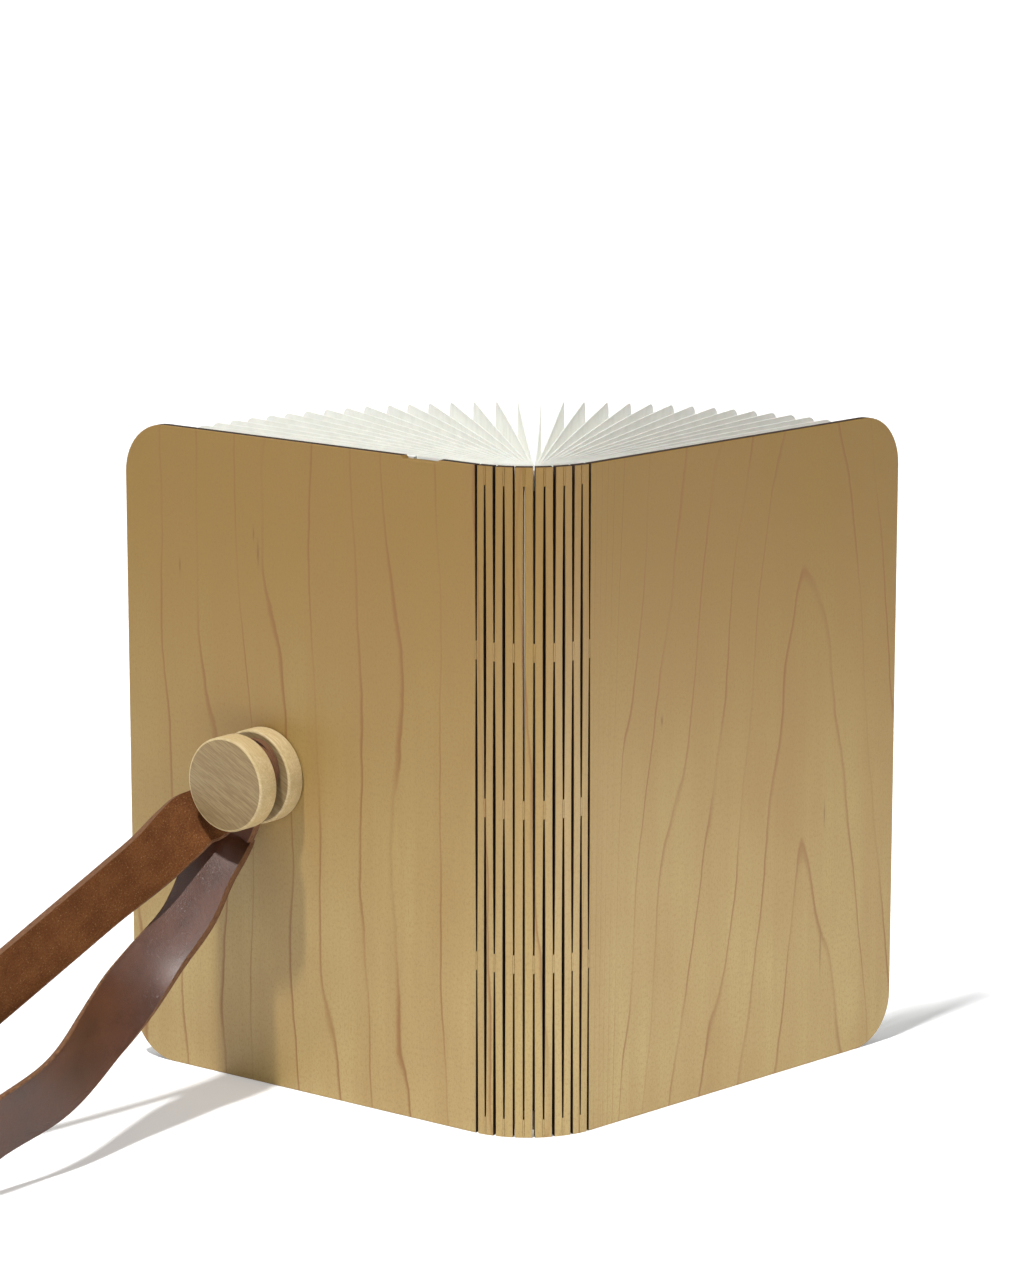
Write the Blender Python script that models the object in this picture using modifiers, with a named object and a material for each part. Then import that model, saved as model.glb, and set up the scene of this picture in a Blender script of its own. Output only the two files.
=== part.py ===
"""A folding book lamp with wooden covers, a slit living-hinge spine and a pleated page lantern.

The lamp stands on its lower edges, opened as a book that shows its back. A leather strap loops from a
two-disc wooden peg on the left cover. Metres, +Z up. The origin is the middle of the lower face of
spine_strip_07, the strip that every fold is counted from.
"""

from math import atan2, cos, pi, radians, sin

import bmesh
import bpy
import numpy as np
from mathutils import Matrix, Vector

MM = 0.001

# Driving dimensions of the book
HEIGHT = 215.9 * MM             # covers, bottom edge to top edge
COVER_REACH = 146.0 * MM        # outermost hinge line to fore-edge
COVER_THICKNESS = 3.0 * MM
CORNER_RADIUS = 17.0 * MM
OPENING = radians(98.0)         # angle between the covers as the lamp stands

# The living hinge: narrow strips of the same sheet, joined by short bridges
STRIP_COUNT = 12
HINGE_PITCH = 3.035 * MM        # hinge line to hinge line
SLIT_WIDTH = 0.6 * MM
BRIDGE_LENGTH = 6.0 * MM
BRIDGE_THICKNESS = 1.2 * MM
BRIDGE_ROOT = 0.5 * MM          # how deep a bridge is rooted in its strip
ODD_BRIDGE_SHARES = (0.264, 0.729)
EVEN_BRIDGE_SHARE = 0.496

# What lies behind the wood, from the cover's inner face towards the pages
CLEARANCE = 0.3 * MM            # between pieces that lie on each other
LINER_THICKNESS = 1.5 * MM
ENDPAPER_THICKNESS = 0.3 * MM
LINER_INSET = 1.5 * MM          # from the cover's edges
LINER_FOOT = 0.8 * MM           # liner above the floor
LINER_HEAD = 0.6 * MM           # liner below the cover's top edge
POCKET_DEPTH = 1.4 * MM         # pockets milled into the cover's inner face

# The page lantern: pleats that fan out from one line, the one where the two endpapers would meet
SECTION_COUNT = 16
PLEATS_PER_SECTION = 2
PAGE_THICKNESS = 0.16 * MM
PAGE_REACH = 142.5 * MM         # fan line to fore-edge folds
SPINE_FOLD_MIDDLE = 10.0 * MM   # fan line to the spine folds, in the middle of the fan
SPINE_FOLD_SIDE = 20.0 * MM     # fan line to the spine folds, beside the covers
PAGE_CORNER_RADIUS = 15.0 * MM
PAGE_FOOT = 1.0 * MM
PAGE_HEAD = 0.5 * MM
PAGE_SECTION_GAP = 0.46 * MM    # between the spine folds of neighbouring sections

# Flexible light engine behind the spine
LED_FLEX_THICKNESS = 0.3 * MM
LED_FLEX_MARGIN = 8.0 * MM      # from the top and bottom edges
DIFFUSER_MARGIN = 1.5 * MM
SPINE_END_MARGIN = radians(1.0)

# Electronics in the left cover
BATTERY_START = 18.0 * MM
BATTERY_FOOT = 20.0 * MM
BATTERY_WIDTH = 46.0 * MM
BATTERY_HEAD = 32.0 * MM        # free stretch between the battery and the board
BATTERY_EDGE = 0.8 * MM
BOARD_START = 18.0 * MM
BOARD_WIDTH = 40.0 * MM
BOARD_HEIGHT = 48.0 * MM
BOARD_DROP = 19.9 * MM          # board's upper edge below the cover's top edge
BOARD_THICKNESS = 0.8 * MM
CHIP_HEIGHT = 0.6 * MM
CHIP_ROOT = 0.1 * MM
CHIP_SHARES = ((0.30, 0.70, 0.28, 0.20), (0.30, 0.25, 0.30, 0.14), (0.80, 0.50, 0.16, 0.14))
WINDOW_CLEARANCE = 0.5 * MM     # around a piece in its window or pocket
NOTCH_START = 14.5 * MM
NOTCH_WIDTH = 15.0 * MM
NOTCH_DEPTH = 1.0 * MM
NOTCH_SLOPE = 0.8 * MM
SOCKET_WIDTH = 8.9 * MM
SOCKET_HEIGHT = 7.5 * MM
SOCKET_WALL = 0.35 * MM
SOCKET_FLOOR = 1.5 * MM

# Closing magnets, the lid sensor's magnet and the keeper that the peg clings to
MAGNET_DIAMETER = 8.0 * MM
MAGNET_INSET = 11.0 * MM        # magnet's centre from the fore-edge
MAGNET_RISE = 26.0 * MM         # magnet's centre from the top and bottom edges
SENSOR_MAGNET_DIAMETER = 5.0 * MM
KEEPER_DIAMETER = 24.0 * MM
KEEPER_THICKNESS = 1.0 * MM

# The peg: two wooden discs on one axle
PEG_ALONG = 86.0 * MM           # peg's axis from the outermost hinge line
PEG_UP = 105.5 * MM             # peg's axis above the floor
PEG_DIAMETER = 31.0 * MM
REAR_DISC_THICKNESS = 7.0 * MM
FRONT_DISC_THICKNESS = 8.0 * MM
DISC_EDGE = 0.5 * MM
PEG_MAGNET_DIAMETER = 18.0 * MM
PEG_MAGNET_THICKNESS = 2.5 * MM
AXLE_DIAMETER = 4.0 * MM
AXLE_IN_REAR = 2.9 * MM
AXLE_IN_FRONT = 5.2 * MM
AXLE_EDGE = 0.3 * MM

# The leather strap, one band whose two ends are stacked on the peg's axle
STRAP_WIDTH = 20.0 * MM
STRAP_THICKNESS = 2.5 * MM
STRAP_OUT = 200.0 * MM          # far end of the loop from the left cover's middle plane
STRAP_SWAY = 20.0 * MM          # the loop's half width, of which its places take shares
STRAP_TAB = 10.0 * MM           # strap's round end beyond the axle
STRAP_LAYER_GAP = 0.4 * MM
LOWER_LEG_LEAN = radians(26.4)  # from straight down towards the fore-edge
UPPER_LEG_LEAN = radians(47.9)
STRAP_BEND_RADIUS = 5.0 * MM    # where a leg turns away from the cover beside the peg

# The loop's places as shares: sideways of the sway, outwards of the reach, fall of the peg's height,
# and how far the band has turned towards standing on its edge
LOWER_LEG_SHARES = (
    (0.409, 0.075, 0.241, -0.10), (0.389, 0.110, 0.316, -0.217), (0.293, 0.170, 0.436, -0.233),
    (0.266, 0.260, 0.556, -0.064), (-0.004, 0.400, 0.696, 0.499), (-0.354, 0.560, 0.827, 0.869),
    (-0.366, 0.690, 0.889, 1.06), (-0.275, 0.800, 0.965, 1.02), (-0.05, 0.890, 0.998, 1.00),
    (0.40, 0.965, 1.000, 1.00), (1.00, 0.990, 0.985, 1.00),
)
UPPER_LEG_SHARES = (
    (1.50, 0.950, 0.935, 1.00), (1.72, 0.860, 0.867, 1.00), (1.69, 0.750, 0.787, 0.99),
    (1.507, 0.650, 0.713, 0.969), (1.281, 0.525, 0.578, 0.928), (1.068, 0.400, 0.443, 0.901),
    (0.911, 0.290, 0.330, 0.861), (0.819, 0.200, 0.247, 0.638), (0.801, 0.135, 0.183, 0.263),
)
STRAP_FINE_STEPS = 24
STRAP_STEPS = 4
STRAP_END_STEPS = 5
ROUND_STEPS = 48
CORNER_STEPS = 8
SMOOTH_ANGLE = radians(32.0)    # edges sharper than this stay crisp
OVERRUN = 1.0 * MM              # how far cutters run past what they cut
MERGE = 0.00001

# Derived places
HALF_WOOD = COVER_THICKNESS / 2
BEND = (pi - OPENING) / (STRIP_COUNT + 1)     # turn at each hinge line
ROOT_STRIP = STRIP_COUNT // 2 + 1
LINER_FACE = HALF_WOOD + CLEARANCE
LINER_BACK = LINER_FACE + LINER_THICKNESS
ENDPAPER_FACE = LINER_BACK + CLEARANCE
ENDPAPER_BACK = ENDPAPER_FACE + ENDPAPER_THICKNESS
PAGE_ROOT = ENDPAPER_BACK + CLEARANCE         # spine folds, from the hinge lines
POCKET_FLOOR = HALF_WOOD - POCKET_DEPTH
SUNK_FACE = POCKET_FLOOR + CLEARANCE
BOARD_FOOT = HEIGHT - BOARD_DROP - BOARD_HEIGHT
BATTERY_HEIGHT = BOARD_FOOT - BATTERY_HEAD - BATTERY_FOOT
SPINE_RADIUS = HINGE_PITCH / (2 * sin(BEND / 2))
STRAP_GAP = 2 * STRAP_THICKNESS + STRAP_LAYER_GAP + 2 * CLEARANCE
REAR_DISC_FACE = HALF_WOOD + CLEARANCE
REAR_DISC_FRONT = REAR_DISC_FACE + REAR_DISC_THICKNESS
FRONT_DISC_FACE = REAR_DISC_FRONT + STRAP_GAP
FRONT_DISC_FRONT = FRONT_DISC_FACE + FRONT_DISC_THICKNESS

MATERIALS = {
    "maple": ((0.44, 0.30, 0.13), 0.45, 0.0),
    "maple_peg": ((0.56, 0.42, 0.24), 0.5, 0.0),
    "page_sheet": ((0.84, 0.85, 0.80), 0.7, 0.0),
    "liner": ((0.86, 0.87, 0.84), 0.6, 0.0),
    "diffuser": ((0.90, 0.90, 0.88), 0.5, 0.0),
    "leather": ((0.16, 0.062, 0.028), 0.5, 0.0),
    "steel": ((0.55, 0.56, 0.58), 0.35, 1.0),
    "brass": ((0.70, 0.55, 0.25), 0.3, 1.0),
    "battery_foil": ((0.62, 0.64, 0.66), 0.3, 0.9),
    "board": ((0.03, 0.16, 0.08), 0.4, 0.0),
}


def clear_scene():
    for obj in list(bpy.data.objects):
        bpy.data.objects.remove(obj, do_unlink=True)


def make_collection(name):
    collection = bpy.data.collections.new(name)
    bpy.context.scene.collection.children.link(collection)
    return collection


def make_materials():
    made = {}
    for name, (colour, roughness, metallic) in MATERIALS.items():
        material = bpy.data.materials.new(name)
        material.use_nodes = True
        shader = material.node_tree.nodes["Principled BSDF"]
        shader.inputs["Base Color"].default_value = (*colour, 1.0)
        shader.inputs["Roughness"].default_value = roughness
        shader.inputs["Metallic"].default_value = metallic
        material.diffuse_color = (*colour, 1.0)
        made[name] = material
    return made


clear_scene()
PARTS = make_collection("folding_book_lamp")
CUTTERS = make_collection("cutters")
MADE_MATERIALS = make_materials()


def add_object(name, mesh, material, parent):
    """Links a mesh as one named sub-part that rides on its body's empty."""
    obj = bpy.data.objects.new(name, mesh)
    mesh.shade_smooth()
    mesh.set_sharp_from_angle(angle=SMOOTH_ANGLE)
    mesh.materials.append(MADE_MATERIALS[material])
    PARTS.objects.link(obj)
    obj.parent = parent
    return obj


def add_cutter(name, mesh, parent):
    obj = bpy.data.objects.new(name, mesh)
    CUTTERS.objects.link(obj)
    obj.parent = parent
    obj.hide_render = True
    obj.display_type = "WIRE"
    return obj


def boolean(obj, tool, operation):
    modifier = obj.modifiers.new(tool.name, "BOOLEAN")
    modifier.object = tool
    modifier.operation = operation
    modifier.solver = "EXACT"


def finish_mesh(bm, name):
    bmesh.ops.recalc_face_normals(bm, faces=bm.faces)
    mesh = bpy.data.meshes.new(name)
    bm.to_mesh(mesh)
    bm.free()
    return mesh


def box_mesh(name, low, high):
    """A box between two corners."""
    low, high = Vector(low), Vector(high)
    bm = bmesh.new()
    bmesh.ops.create_cube(bm, size=1)
    size = high - low
    place = Matrix.Translation((low + high) / 2) @ Matrix.Diagonal((*size, 1))
    bmesh.ops.transform(bm, matrix=place, verts=bm.verts)
    return finish_mesh(bm, name)


def disc_mesh(name, centre_x, centre_z, radius, y_low, y_high):
    """A round slug whose axis runs along Y."""
    bm = bmesh.new()
    bmesh.ops.create_cone(bm, cap_ends=True, segments=ROUND_STEPS, radius1=radius, radius2=radius,
                          depth=y_high - y_low)
    move = Matrix.Translation((centre_x, (y_low + y_high) / 2, centre_z))
    place = move @ Matrix.Rotation(pi / 2, 4, "X")
    bmesh.ops.transform(bm, matrix=place, verts=bm.verts)
    return finish_mesh(bm, name)


def slab_mesh(name, outline, low, high, upright):
    """A flat outline given a thickness: upright outlines are (x, z), the others (x, y)."""
    curve = bpy.data.curves.new(name, "CURVE")
    curve.dimensions = "2D"
    curve.fill_mode = "BOTH"
    curve.extrude = (high - low) / 2
    spline = curve.splines.new("POLY")
    spline.points.add(len(outline) - 1)
    for point, (across, along) in zip(spline.points, outline):
        point.co = (across, along, 0, 1)
    spline.use_cyclic_u = True
    guide = bpy.data.objects.new(name + "_guide", curve)
    CUTTERS.objects.link(guide)
    graph = bpy.context.evaluated_depsgraph_get()
    mesh = bpy.data.meshes.new_from_object(guide.evaluated_get(graph))
    bpy.data.objects.remove(guide, do_unlink=True)
    bm = bmesh.new()
    bm.from_mesh(mesh)
    bpy.data.meshes.remove(mesh)
    bmesh.ops.remove_doubles(bm, verts=bm.verts, dist=MERGE)
    middle = (low + high) / 2
    if upright:
        place = Matrix.Translation((0, middle, 0)) @ Matrix.Rotation(pi / 2, 4, "X")
    else:
        place = Matrix.Translation((0, 0, middle))
    bmesh.ops.transform(bm, matrix=place, verts=bm.verts)
    return finish_mesh(bm, name)


def turned_object(name, profile, material, parent, centre):
    """A profile of (radius, height) points, top to bottom, turned about an axis laid along Y."""
    mesh = bpy.data.meshes.new(name)
    edges = [(i, i + 1) for i in range(len(profile) - 1)]
    mesh.from_pydata([(radius, 0, height) for radius, height in profile], edges, [])
    obj = add_object(name, mesh, material, parent)
    obj.location = centre
    obj.rotation_euler = (-pi / 2, 0, 0)
    screw = obj.modifiers.new("turn", "SCREW")
    screw.steps = ROUND_STEPS
    screw.render_steps = ROUND_STEPS
    screw.use_merge_vertices = True
    screw.merge_threshold = MERGE
    screw.use_smooth_shade = False
    return obj


def arc(centre, radius, start, end, steps):
    """Points on an arc, both ends included."""
    angles = [start + (end - start) * i / steps for i in range(steps + 1)]
    return [(centre[0] + radius * cos(a), centre[1] + radius * sin(a)) for a in angles]


def cover_outline(start, reach, foot, head, radius):
    """A cover seen square on: straight at the spine, rounded at the fore-edge."""
    low = arc((reach - radius, foot + radius), radius, -pi / 2, 0, CORNER_STEPS)
    high = arc((reach - radius, head - radius), radius, 0, pi / 2, CORNER_STEPS)
    return [(start, foot), *low, *high, (start, head)]


def stadium(centre, width, height):
    """A slot shape with round ends, wider than it is high."""
    radius = height / 2
    reach = width / 2 - radius
    right = arc((centre[0] + reach, centre[1]), radius, -pi / 2, pi / 2, CORNER_STEPS)
    left = arc((centre[0] - reach, centre[1]), radius, pi / 2, 3 * pi / 2, CORNER_STEPS)
    return right + left


def make_axis(name, parent, location, turn):
    """An empty on a hinge line, which carries one body of the lamp."""
    empty = bpy.data.objects.new(name, None)
    empty.empty_display_size = HINGE_PITCH
    PARTS.objects.link(empty)
    empty.parent = parent
    empty.location = location
    empty.rotation_euler = (0, 0, turn)
    return empty


def make_axes():
    """The chain of hinge lines, from the root strip out to both covers."""
    axes = {ROOT_STRIP: make_axis("spine_axis_root", None, (0, 0, 0), BEND / 2)}
    step = HINGE_PITCH / 2
    for number in range(ROOT_STRIP + 1, STRIP_COUNT + 2):
        axes[number] = make_axis(f"spine_axis_{number:02d}", axes[number - 1], (step, 0, 0), BEND)
        step = HINGE_PITCH
    step = HINGE_PITCH / 2
    for number in range(ROOT_STRIP - 1, 0, -1):
        axes[number] = make_axis(f"spine_axis_{number:02d}", axes[number + 1], (-step, 0, 0), -BEND)
        step = HINGE_PITCH
    axes[0] = make_axis("spine_axis_00", axes[1], (-step, 0, 0), pi - BEND)
    return axes


def strip_span(number):
    """The strip's two side faces, measured from its own hinge line."""
    if number == ROOT_STRIP:
        start = -HINGE_PITCH / 2
    elif number > ROOT_STRIP:
        start = 0
    else:
        start = -HINGE_PITCH
    return start + SLIT_WIDTH / 2, start + HINGE_PITCH - SLIT_WIDTH / 2


def bridge_spans(column):
    """Bottom and top of each bridge across one slit column: they alternate along the sheet."""
    half = BRIDGE_LENGTH / 2
    if column % 2:
        return [(HEIGHT * share - half, HEIGHT * share + half) for share in ODD_BRIDGE_SHARES]
    middle = HEIGHT * EVEN_BRIDGE_SHARE
    return [(0, BRIDGE_LENGTH), (middle - half, middle + half), (HEIGHT - BRIDGE_LENGTH, HEIGHT)]


def make_strip(number, axis):
    """One strip of the living hinge, with the bridges that reach towards its neighbour."""
    left, right = strip_span(number)
    name = f"spine_strip_{number:02d}"
    board = box_mesh(name, (left, -HALF_WOOD, 0), (right, HALF_WOOD, HEIGHT))
    strip = add_object(name, board, "maple", axis)
    reach = SLIT_WIDTH - CLEARANCE
    sides = []
    if number < ROOT_STRIP:
        sides.append((number, left - reach, left + BRIDGE_ROOT))
    if number >= ROOT_STRIP - 1:
        sides.append((number + 1, right - BRIDGE_ROOT, right + reach))
    for column, start, end in sides:
        for place, (foot, head) in enumerate(bridge_spans(column)):
            tool_name = f"bridge_{column:02d}_{place}"
            half = BRIDGE_THICKNESS / 2
            mesh = box_mesh(tool_name, (start, -half, foot), (end, half, head))
            boolean(strip, add_cutter(tool_name, mesh, axis), "UNION")
    return strip


def notched_outline():
    """The left cover's outline, with the charging notch in its top edge."""
    outline = cover_outline(SLIT_WIDTH / 2, COVER_REACH, 0, HEIGHT, CORNER_RADIUS)
    notch_end = NOTCH_START + NOTCH_WIDTH
    notch = [(notch_end, HEIGHT), (notch_end - NOTCH_SLOPE, HEIGHT - NOTCH_DEPTH),
             (NOTCH_START + NOTCH_SLOPE, HEIGHT - NOTCH_DEPTH), (NOTCH_START, HEIGHT)]
    return outline[:-1] + notch + outline[-1:]


def inward(side, near, far):
    """Two distances behind the mid-plane as the cover's own lower and higher Y."""
    return sorted((-side * near, -side * far))


def cut(owner, name, meshes, axis):
    """Takes several hollows, which don't touch each other, out of a piece in one step."""
    bm = bmesh.new()
    for mesh in meshes:
        bm.from_mesh(mesh)
        bpy.data.meshes.remove(mesh)
    boolean(owner, add_cutter(name, finish_mesh(bm, name), axis), "DIFFERENCE")


def magnet_places():
    """Where a cover's two closing magnets sit: along the cover, and up."""
    along = COVER_REACH - MAGNET_INSET
    return {"low": (along, MAGNET_RISE), "high": (along, HEIGHT - MAGNET_RISE)}


def battery_corners(grow):
    low = (BATTERY_START - grow, BATTERY_FOOT - grow)
    return low, (BATTERY_START + BATTERY_WIDTH + grow, BATTERY_FOOT + BATTERY_HEIGHT + grow)


def board_corners(grow):
    low = (BOARD_START - grow, BOARD_FOOT - grow)
    return low, (BOARD_START + BOARD_WIDTH + grow, BOARD_FOOT + BOARD_HEIGHT + grow)


def socket_centre():
    return NOTCH_START + NOTCH_WIDTH / 2


def socket_top():
    return HEIGHT - NOTCH_DEPTH - CLEARANCE


def chip_place(shares):
    """A chip's centre on the board: along the cover, and up."""
    return BOARD_START + BOARD_WIDTH * shares[0], BOARD_FOOT + BOARD_HEIGHT * shares[1]


def upright_box(name, corners, depths):
    (x_low, z_low), (x_high, z_high) = corners
    return box_mesh(name, (x_low, depths[0], z_low), (x_high, depths[1], z_high))


def magnet_hollows(depths):
    """Round hollows for a cover's two closing magnets."""
    radius = MAGNET_DIAMETER / 2 + CLEARANCE
    return [disc_mesh(f"magnet_{level}", along, up, radius, *depths)
            for level, (along, up) in magnet_places().items()]


def make_cover(name, side, axis, outline, hollows):
    """A cover board with the pockets in its inner face."""
    mesh = slab_mesh(name, outline, -HALF_WOOD, HALF_WOOD, True)
    cover = add_object(name, mesh, "maple", axis)
    depths = inward(side, POCKET_FLOOR, HALF_WOOD + OVERRUN)
    cut(cover, f"{name}_pockets", magnet_hollows(depths) + hollows, axis)


def make_liner(name, side, axis, hollows):
    """The moulded tray behind a cover, with holes for what is sunk in the cover."""
    head = HEIGHT - LINER_HEAD
    reach = COVER_REACH - LINER_INSET
    outline = cover_outline(LINER_INSET, reach, LINER_FOOT, head, CORNER_RADIUS - LINER_INSET)
    mesh = slab_mesh(name, outline, *inward(side, LINER_FACE, LINER_BACK), True)
    liner = add_object(name, mesh, "liner", axis)
    depths = inward(side, LINER_FACE - OVERRUN, LINER_BACK + OVERRUN)
    cut(liner, f"{name}_holes", magnet_hollows(depths) + hollows, axis)


def make_endpaper(name, side, axis):
    """The white sheet that closes the tray and takes the first pleat."""
    head = HEIGHT - LINER_HEAD
    reach = COVER_REACH - LINER_INSET
    outline = cover_outline(LINER_INSET, reach, LINER_FOOT, head, CORNER_RADIUS - LINER_INSET)
    mesh = slab_mesh(name, outline, *inward(side, ENDPAPER_FACE, ENDPAPER_BACK), True)
    return add_object(name, mesh, "page_sheet", axis)


def make_closing_magnets(side_name, side, axis):
    depths = inward(side, SUNK_FACE, LINER_BACK)
    for level, (along, up) in magnet_places().items():
        name = f"closing_magnet_{side_name}_{level}"
        add_object(name, disc_mesh(name, along, up, MAGNET_DIAMETER / 2, *depths), "steel", axis)


def make_left_cover(axis):
    """The left cover: it also holds the battery, the board, the socket and the keeper plate."""
    side = 1
    wood = inward(side, POCKET_FLOOR, HALF_WOOD + OVERRUN)
    tray = inward(side, LINER_FACE - OVERRUN, LINER_BACK + OVERRUN)
    battery_room = battery_corners(WINDOW_CLEARANCE)
    board_room = board_corners(WINDOW_CLEARANCE)
    keeper_radius = KEEPER_DIAMETER / 2
    wood_hollows = [
        upright_box("battery_pocket", battery_room, wood),
        disc_mesh("keeper_pocket", PEG_ALONG, PEG_UP, keeper_radius + CLEARANCE, *wood),
        upright_box("socket_pocket", socket_room(), wood),
    ]
    tray_hollows = [
        upright_box("battery_window", battery_room, tray),
        upright_box("board_window", board_room, tray),
        upright_box("socket_window", socket_room(), tray),
    ]
    make_cover("cover_left", side, axis, notched_outline(), wood_hollows)
    make_liner("liner_left", side, axis, tray_hollows)
    make_endpaper("endpaper_left", side, axis)
    make_closing_magnets("left", side, axis)
    make_battery(side, axis)
    make_driver_board(side, axis)
    make_socket(side, axis)
    keeper_depths = inward(side, SUNK_FACE, SUNK_FACE + KEEPER_THICKNESS)
    keeper = disc_mesh("keeper_plate", PEG_ALONG, PEG_UP, keeper_radius, *keeper_depths)
    add_object("keeper_plate", keeper, "steel", axis)


def make_battery(side, axis):
    """A flat foil cell with softened edges."""
    mesh = upright_box("battery_cell", battery_corners(0), inward(side, SUNK_FACE, LINER_BACK))
    battery = add_object("battery_cell", mesh, "battery_foil", axis)
    bevel = battery.modifiers.new("soft_edge", "BEVEL")
    bevel.width = BATTERY_EDGE
    bevel.segments = 2


def make_driver_board(side, axis):
    """The circuit board with its parts standing towards the endpaper."""
    top = LINER_FACE + BOARD_THICKNESS
    depths = inward(side, LINER_FACE, top)
    mesh = upright_box("driver_board", board_corners(0), depths)
    board = add_object("driver_board", mesh, "board", axis)
    chip_depths = inward(side, top - CHIP_ROOT, top + CHIP_HEIGHT)
    for place, shares in enumerate(CHIP_SHARES):
        x, z = chip_place(shares)
        half_x, half_z = BOARD_WIDTH * shares[2] / 2, BOARD_HEIGHT * shares[3] / 2
        corners = ((x - half_x, z - half_z), (x + half_x, z + half_z))
        tool = add_cutter(f"chip_{place}", upright_box("chip", corners, chip_depths), axis)
        boolean(board, tool, "UNION")


def socket_room():
    """The hollow round the socket, open at the cover's top edge."""
    half = SOCKET_WIDTH / 2 + WINDOW_CLEARANCE
    foot = socket_top() - SOCKET_HEIGHT - WINDOW_CLEARANCE
    return (socket_centre() - half, foot), (socket_centre() + half, HEIGHT + OVERRUN)


def make_socket(side, axis):
    """The charging socket: a flat round-ended shell, open upwards in the notch."""
    near, far = inward(side, SUNK_FACE, LINER_BACK)
    thickness = far - near
    middle = (socket_centre(), (near + far) / 2)
    top, foot = socket_top(), socket_top() - SOCKET_HEIGHT
    shell = slab_mesh("charge_socket", stadium(middle, SOCKET_WIDTH, thickness), foot, top, False)
    socket = add_object("charge_socket", shell, "steel", axis)
    mouth_shape = stadium(middle, SOCKET_WIDTH - 2 * SOCKET_WALL, thickness - 2 * SOCKET_WALL)
    mouth = slab_mesh("mouth", mouth_shape, foot + SOCKET_FLOOR, top + OVERRUN, False)
    cut(socket, "socket_mouth", [mouth], axis)


def make_right_cover(axis):
    """The right cover: the same sheet without the electronics, but with the sensor's magnet."""
    side = -1
    along, up = chip_place(CHIP_SHARES[-1])
    radius = SENSOR_MAGNET_DIAMETER / 2
    tray = inward(side, LINER_FACE - OVERRUN, LINER_BACK + OVERRUN)
    hole = disc_mesh("sensor_hole", along, up, radius + CLEARANCE, *tray)
    outline = cover_outline(SLIT_WIDTH / 2, COVER_REACH, 0, HEIGHT, CORNER_RADIUS)
    make_cover("cover_right", side, axis, outline, [])
    make_liner("liner_right", side, axis, [hole])
    make_endpaper("endpaper_right", side, axis)
    make_closing_magnets("right", side, axis)
    mesh = disc_mesh("sensor_magnet", along, up, radius, *inward(side, LINER_FACE, LINER_BACK))
    add_object("sensor_magnet", mesh, "steel", axis)


def spine_centre():
    """Centre of the circle through the hinge lines, in the root strip's frame turned upright."""
    middle_line = Vector((-HINGE_PITCH / 2 * cos(BEND / 2), -HINGE_PITCH / 2 * sin(BEND / 2)))
    return middle_line + Vector((0, SPINE_RADIUS))


def fan_line():
    """Where the two endpapers would meet: every pleat points away from here."""
    return spine_centre() - Vector((0, (SPINE_RADIUS - PAGE_ROOT) / sin(OPENING / 2)))


def leaf_direction(share):
    """The direction of the pleat at a share of the opening angle, from the left cover on."""
    lean = (share - 0.5) * OPENING
    return Vector((sin(lean), cos(lean)))


def spine_fold(share):
    side = (2 * share - 1) ** 2
    reach = SPINE_FOLD_MIDDLE + (SPINE_FOLD_SIDE - SPINE_FOLD_MIDDLE) * side
    return fan_line() + leaf_direction(share) * reach


def edge_fold(share):
    return fan_line() + leaf_direction(share) * PAGE_REACH


def shifted(start, end, offset):
    """The line from start to end, moved to its left by offset."""
    along = (end - start).normalized()
    left = Vector((-along.y, along.x)) * offset
    return start + left, end + left


def crossing(first, second):
    """Where two lines meet."""
    (a, b), (c, d) = first, second
    r, s = b - a, d - c
    t = (c - a).cross(s) / r.cross(s)
    return a + r * t


def section_outline(number):
    """Plan of one section of the pleated sheet: thin walls, closed folds at the fore-edge."""
    total = SECTION_COUNT * PLEATS_PER_SECTION
    first = (number - 1) * PLEATS_PER_SECTION
    half = PAGE_THICKNESS / 2
    folds = [spine_fold((first + i) / total) for i in range(PLEATS_PER_SECTION + 1)]
    inset = (folds[-1] - folds[0]).normalized() * PAGE_SECTION_GAP / 2
    folds[0] = folds[0] + inset
    folds[-1] = folds[-1] - inset
    tips = [edge_fold((first + i + 0.5) / total) for i in range(PLEATS_PER_SECTION)]
    rising = [(folds[i], tips[i]) for i in range(PLEATS_PER_SECTION)]
    falling = [(tips[i], folds[i + 1]) for i in range(PLEATS_PER_SECTION)]

    outer = [shifted(*rising[0], half)[0]]
    for i in range(PLEATS_PER_SECTION):
        outer.append(shifted(*rising[i], half)[1])
        outer.append(shifted(*falling[i], half)[0])
        if i + 1 < PLEATS_PER_SECTION:
            outer.append(crossing(shifted(*falling[i], half), shifted(*rising[i + 1], half)))
    outer.append(shifted(*falling[-1], half)[1])

    inner = []
    for i in reversed(range(PLEATS_PER_SECTION)):
        inner.append(shifted(*falling[i], -half)[1])
        inner.append(crossing(shifted(*falling[i], -half), shifted(*rising[i], -half)))
        if i == 0:
            inner.append(shifted(*rising[i], -half)[0])
    return [(point.x, point.y) for point in outer + inner]


def section_trim(number):
    """A block with the pages' rounded outline, which trims one section."""
    share = (number - 0.5) / SECTION_COUNT
    head = HEIGHT - PAGE_HEAD
    outline = cover_outline(0, PAGE_REACH, PAGE_FOOT, head, PAGE_CORNER_RADIUS)
    width = PAGE_REACH * OPENING / SECTION_COUNT
    mesh = slab_mesh(f"trim_{number:02d}", outline, -width, width, True)
    trim = add_cutter(f"trim_{number:02d}", mesh, None)
    centre, direction = fan_line(), leaf_direction(share)
    trim.location = (centre.x, centre.y, 0)
    trim.rotation_euler = (0, 0, atan2(direction.y, direction.x))
    return trim


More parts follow.
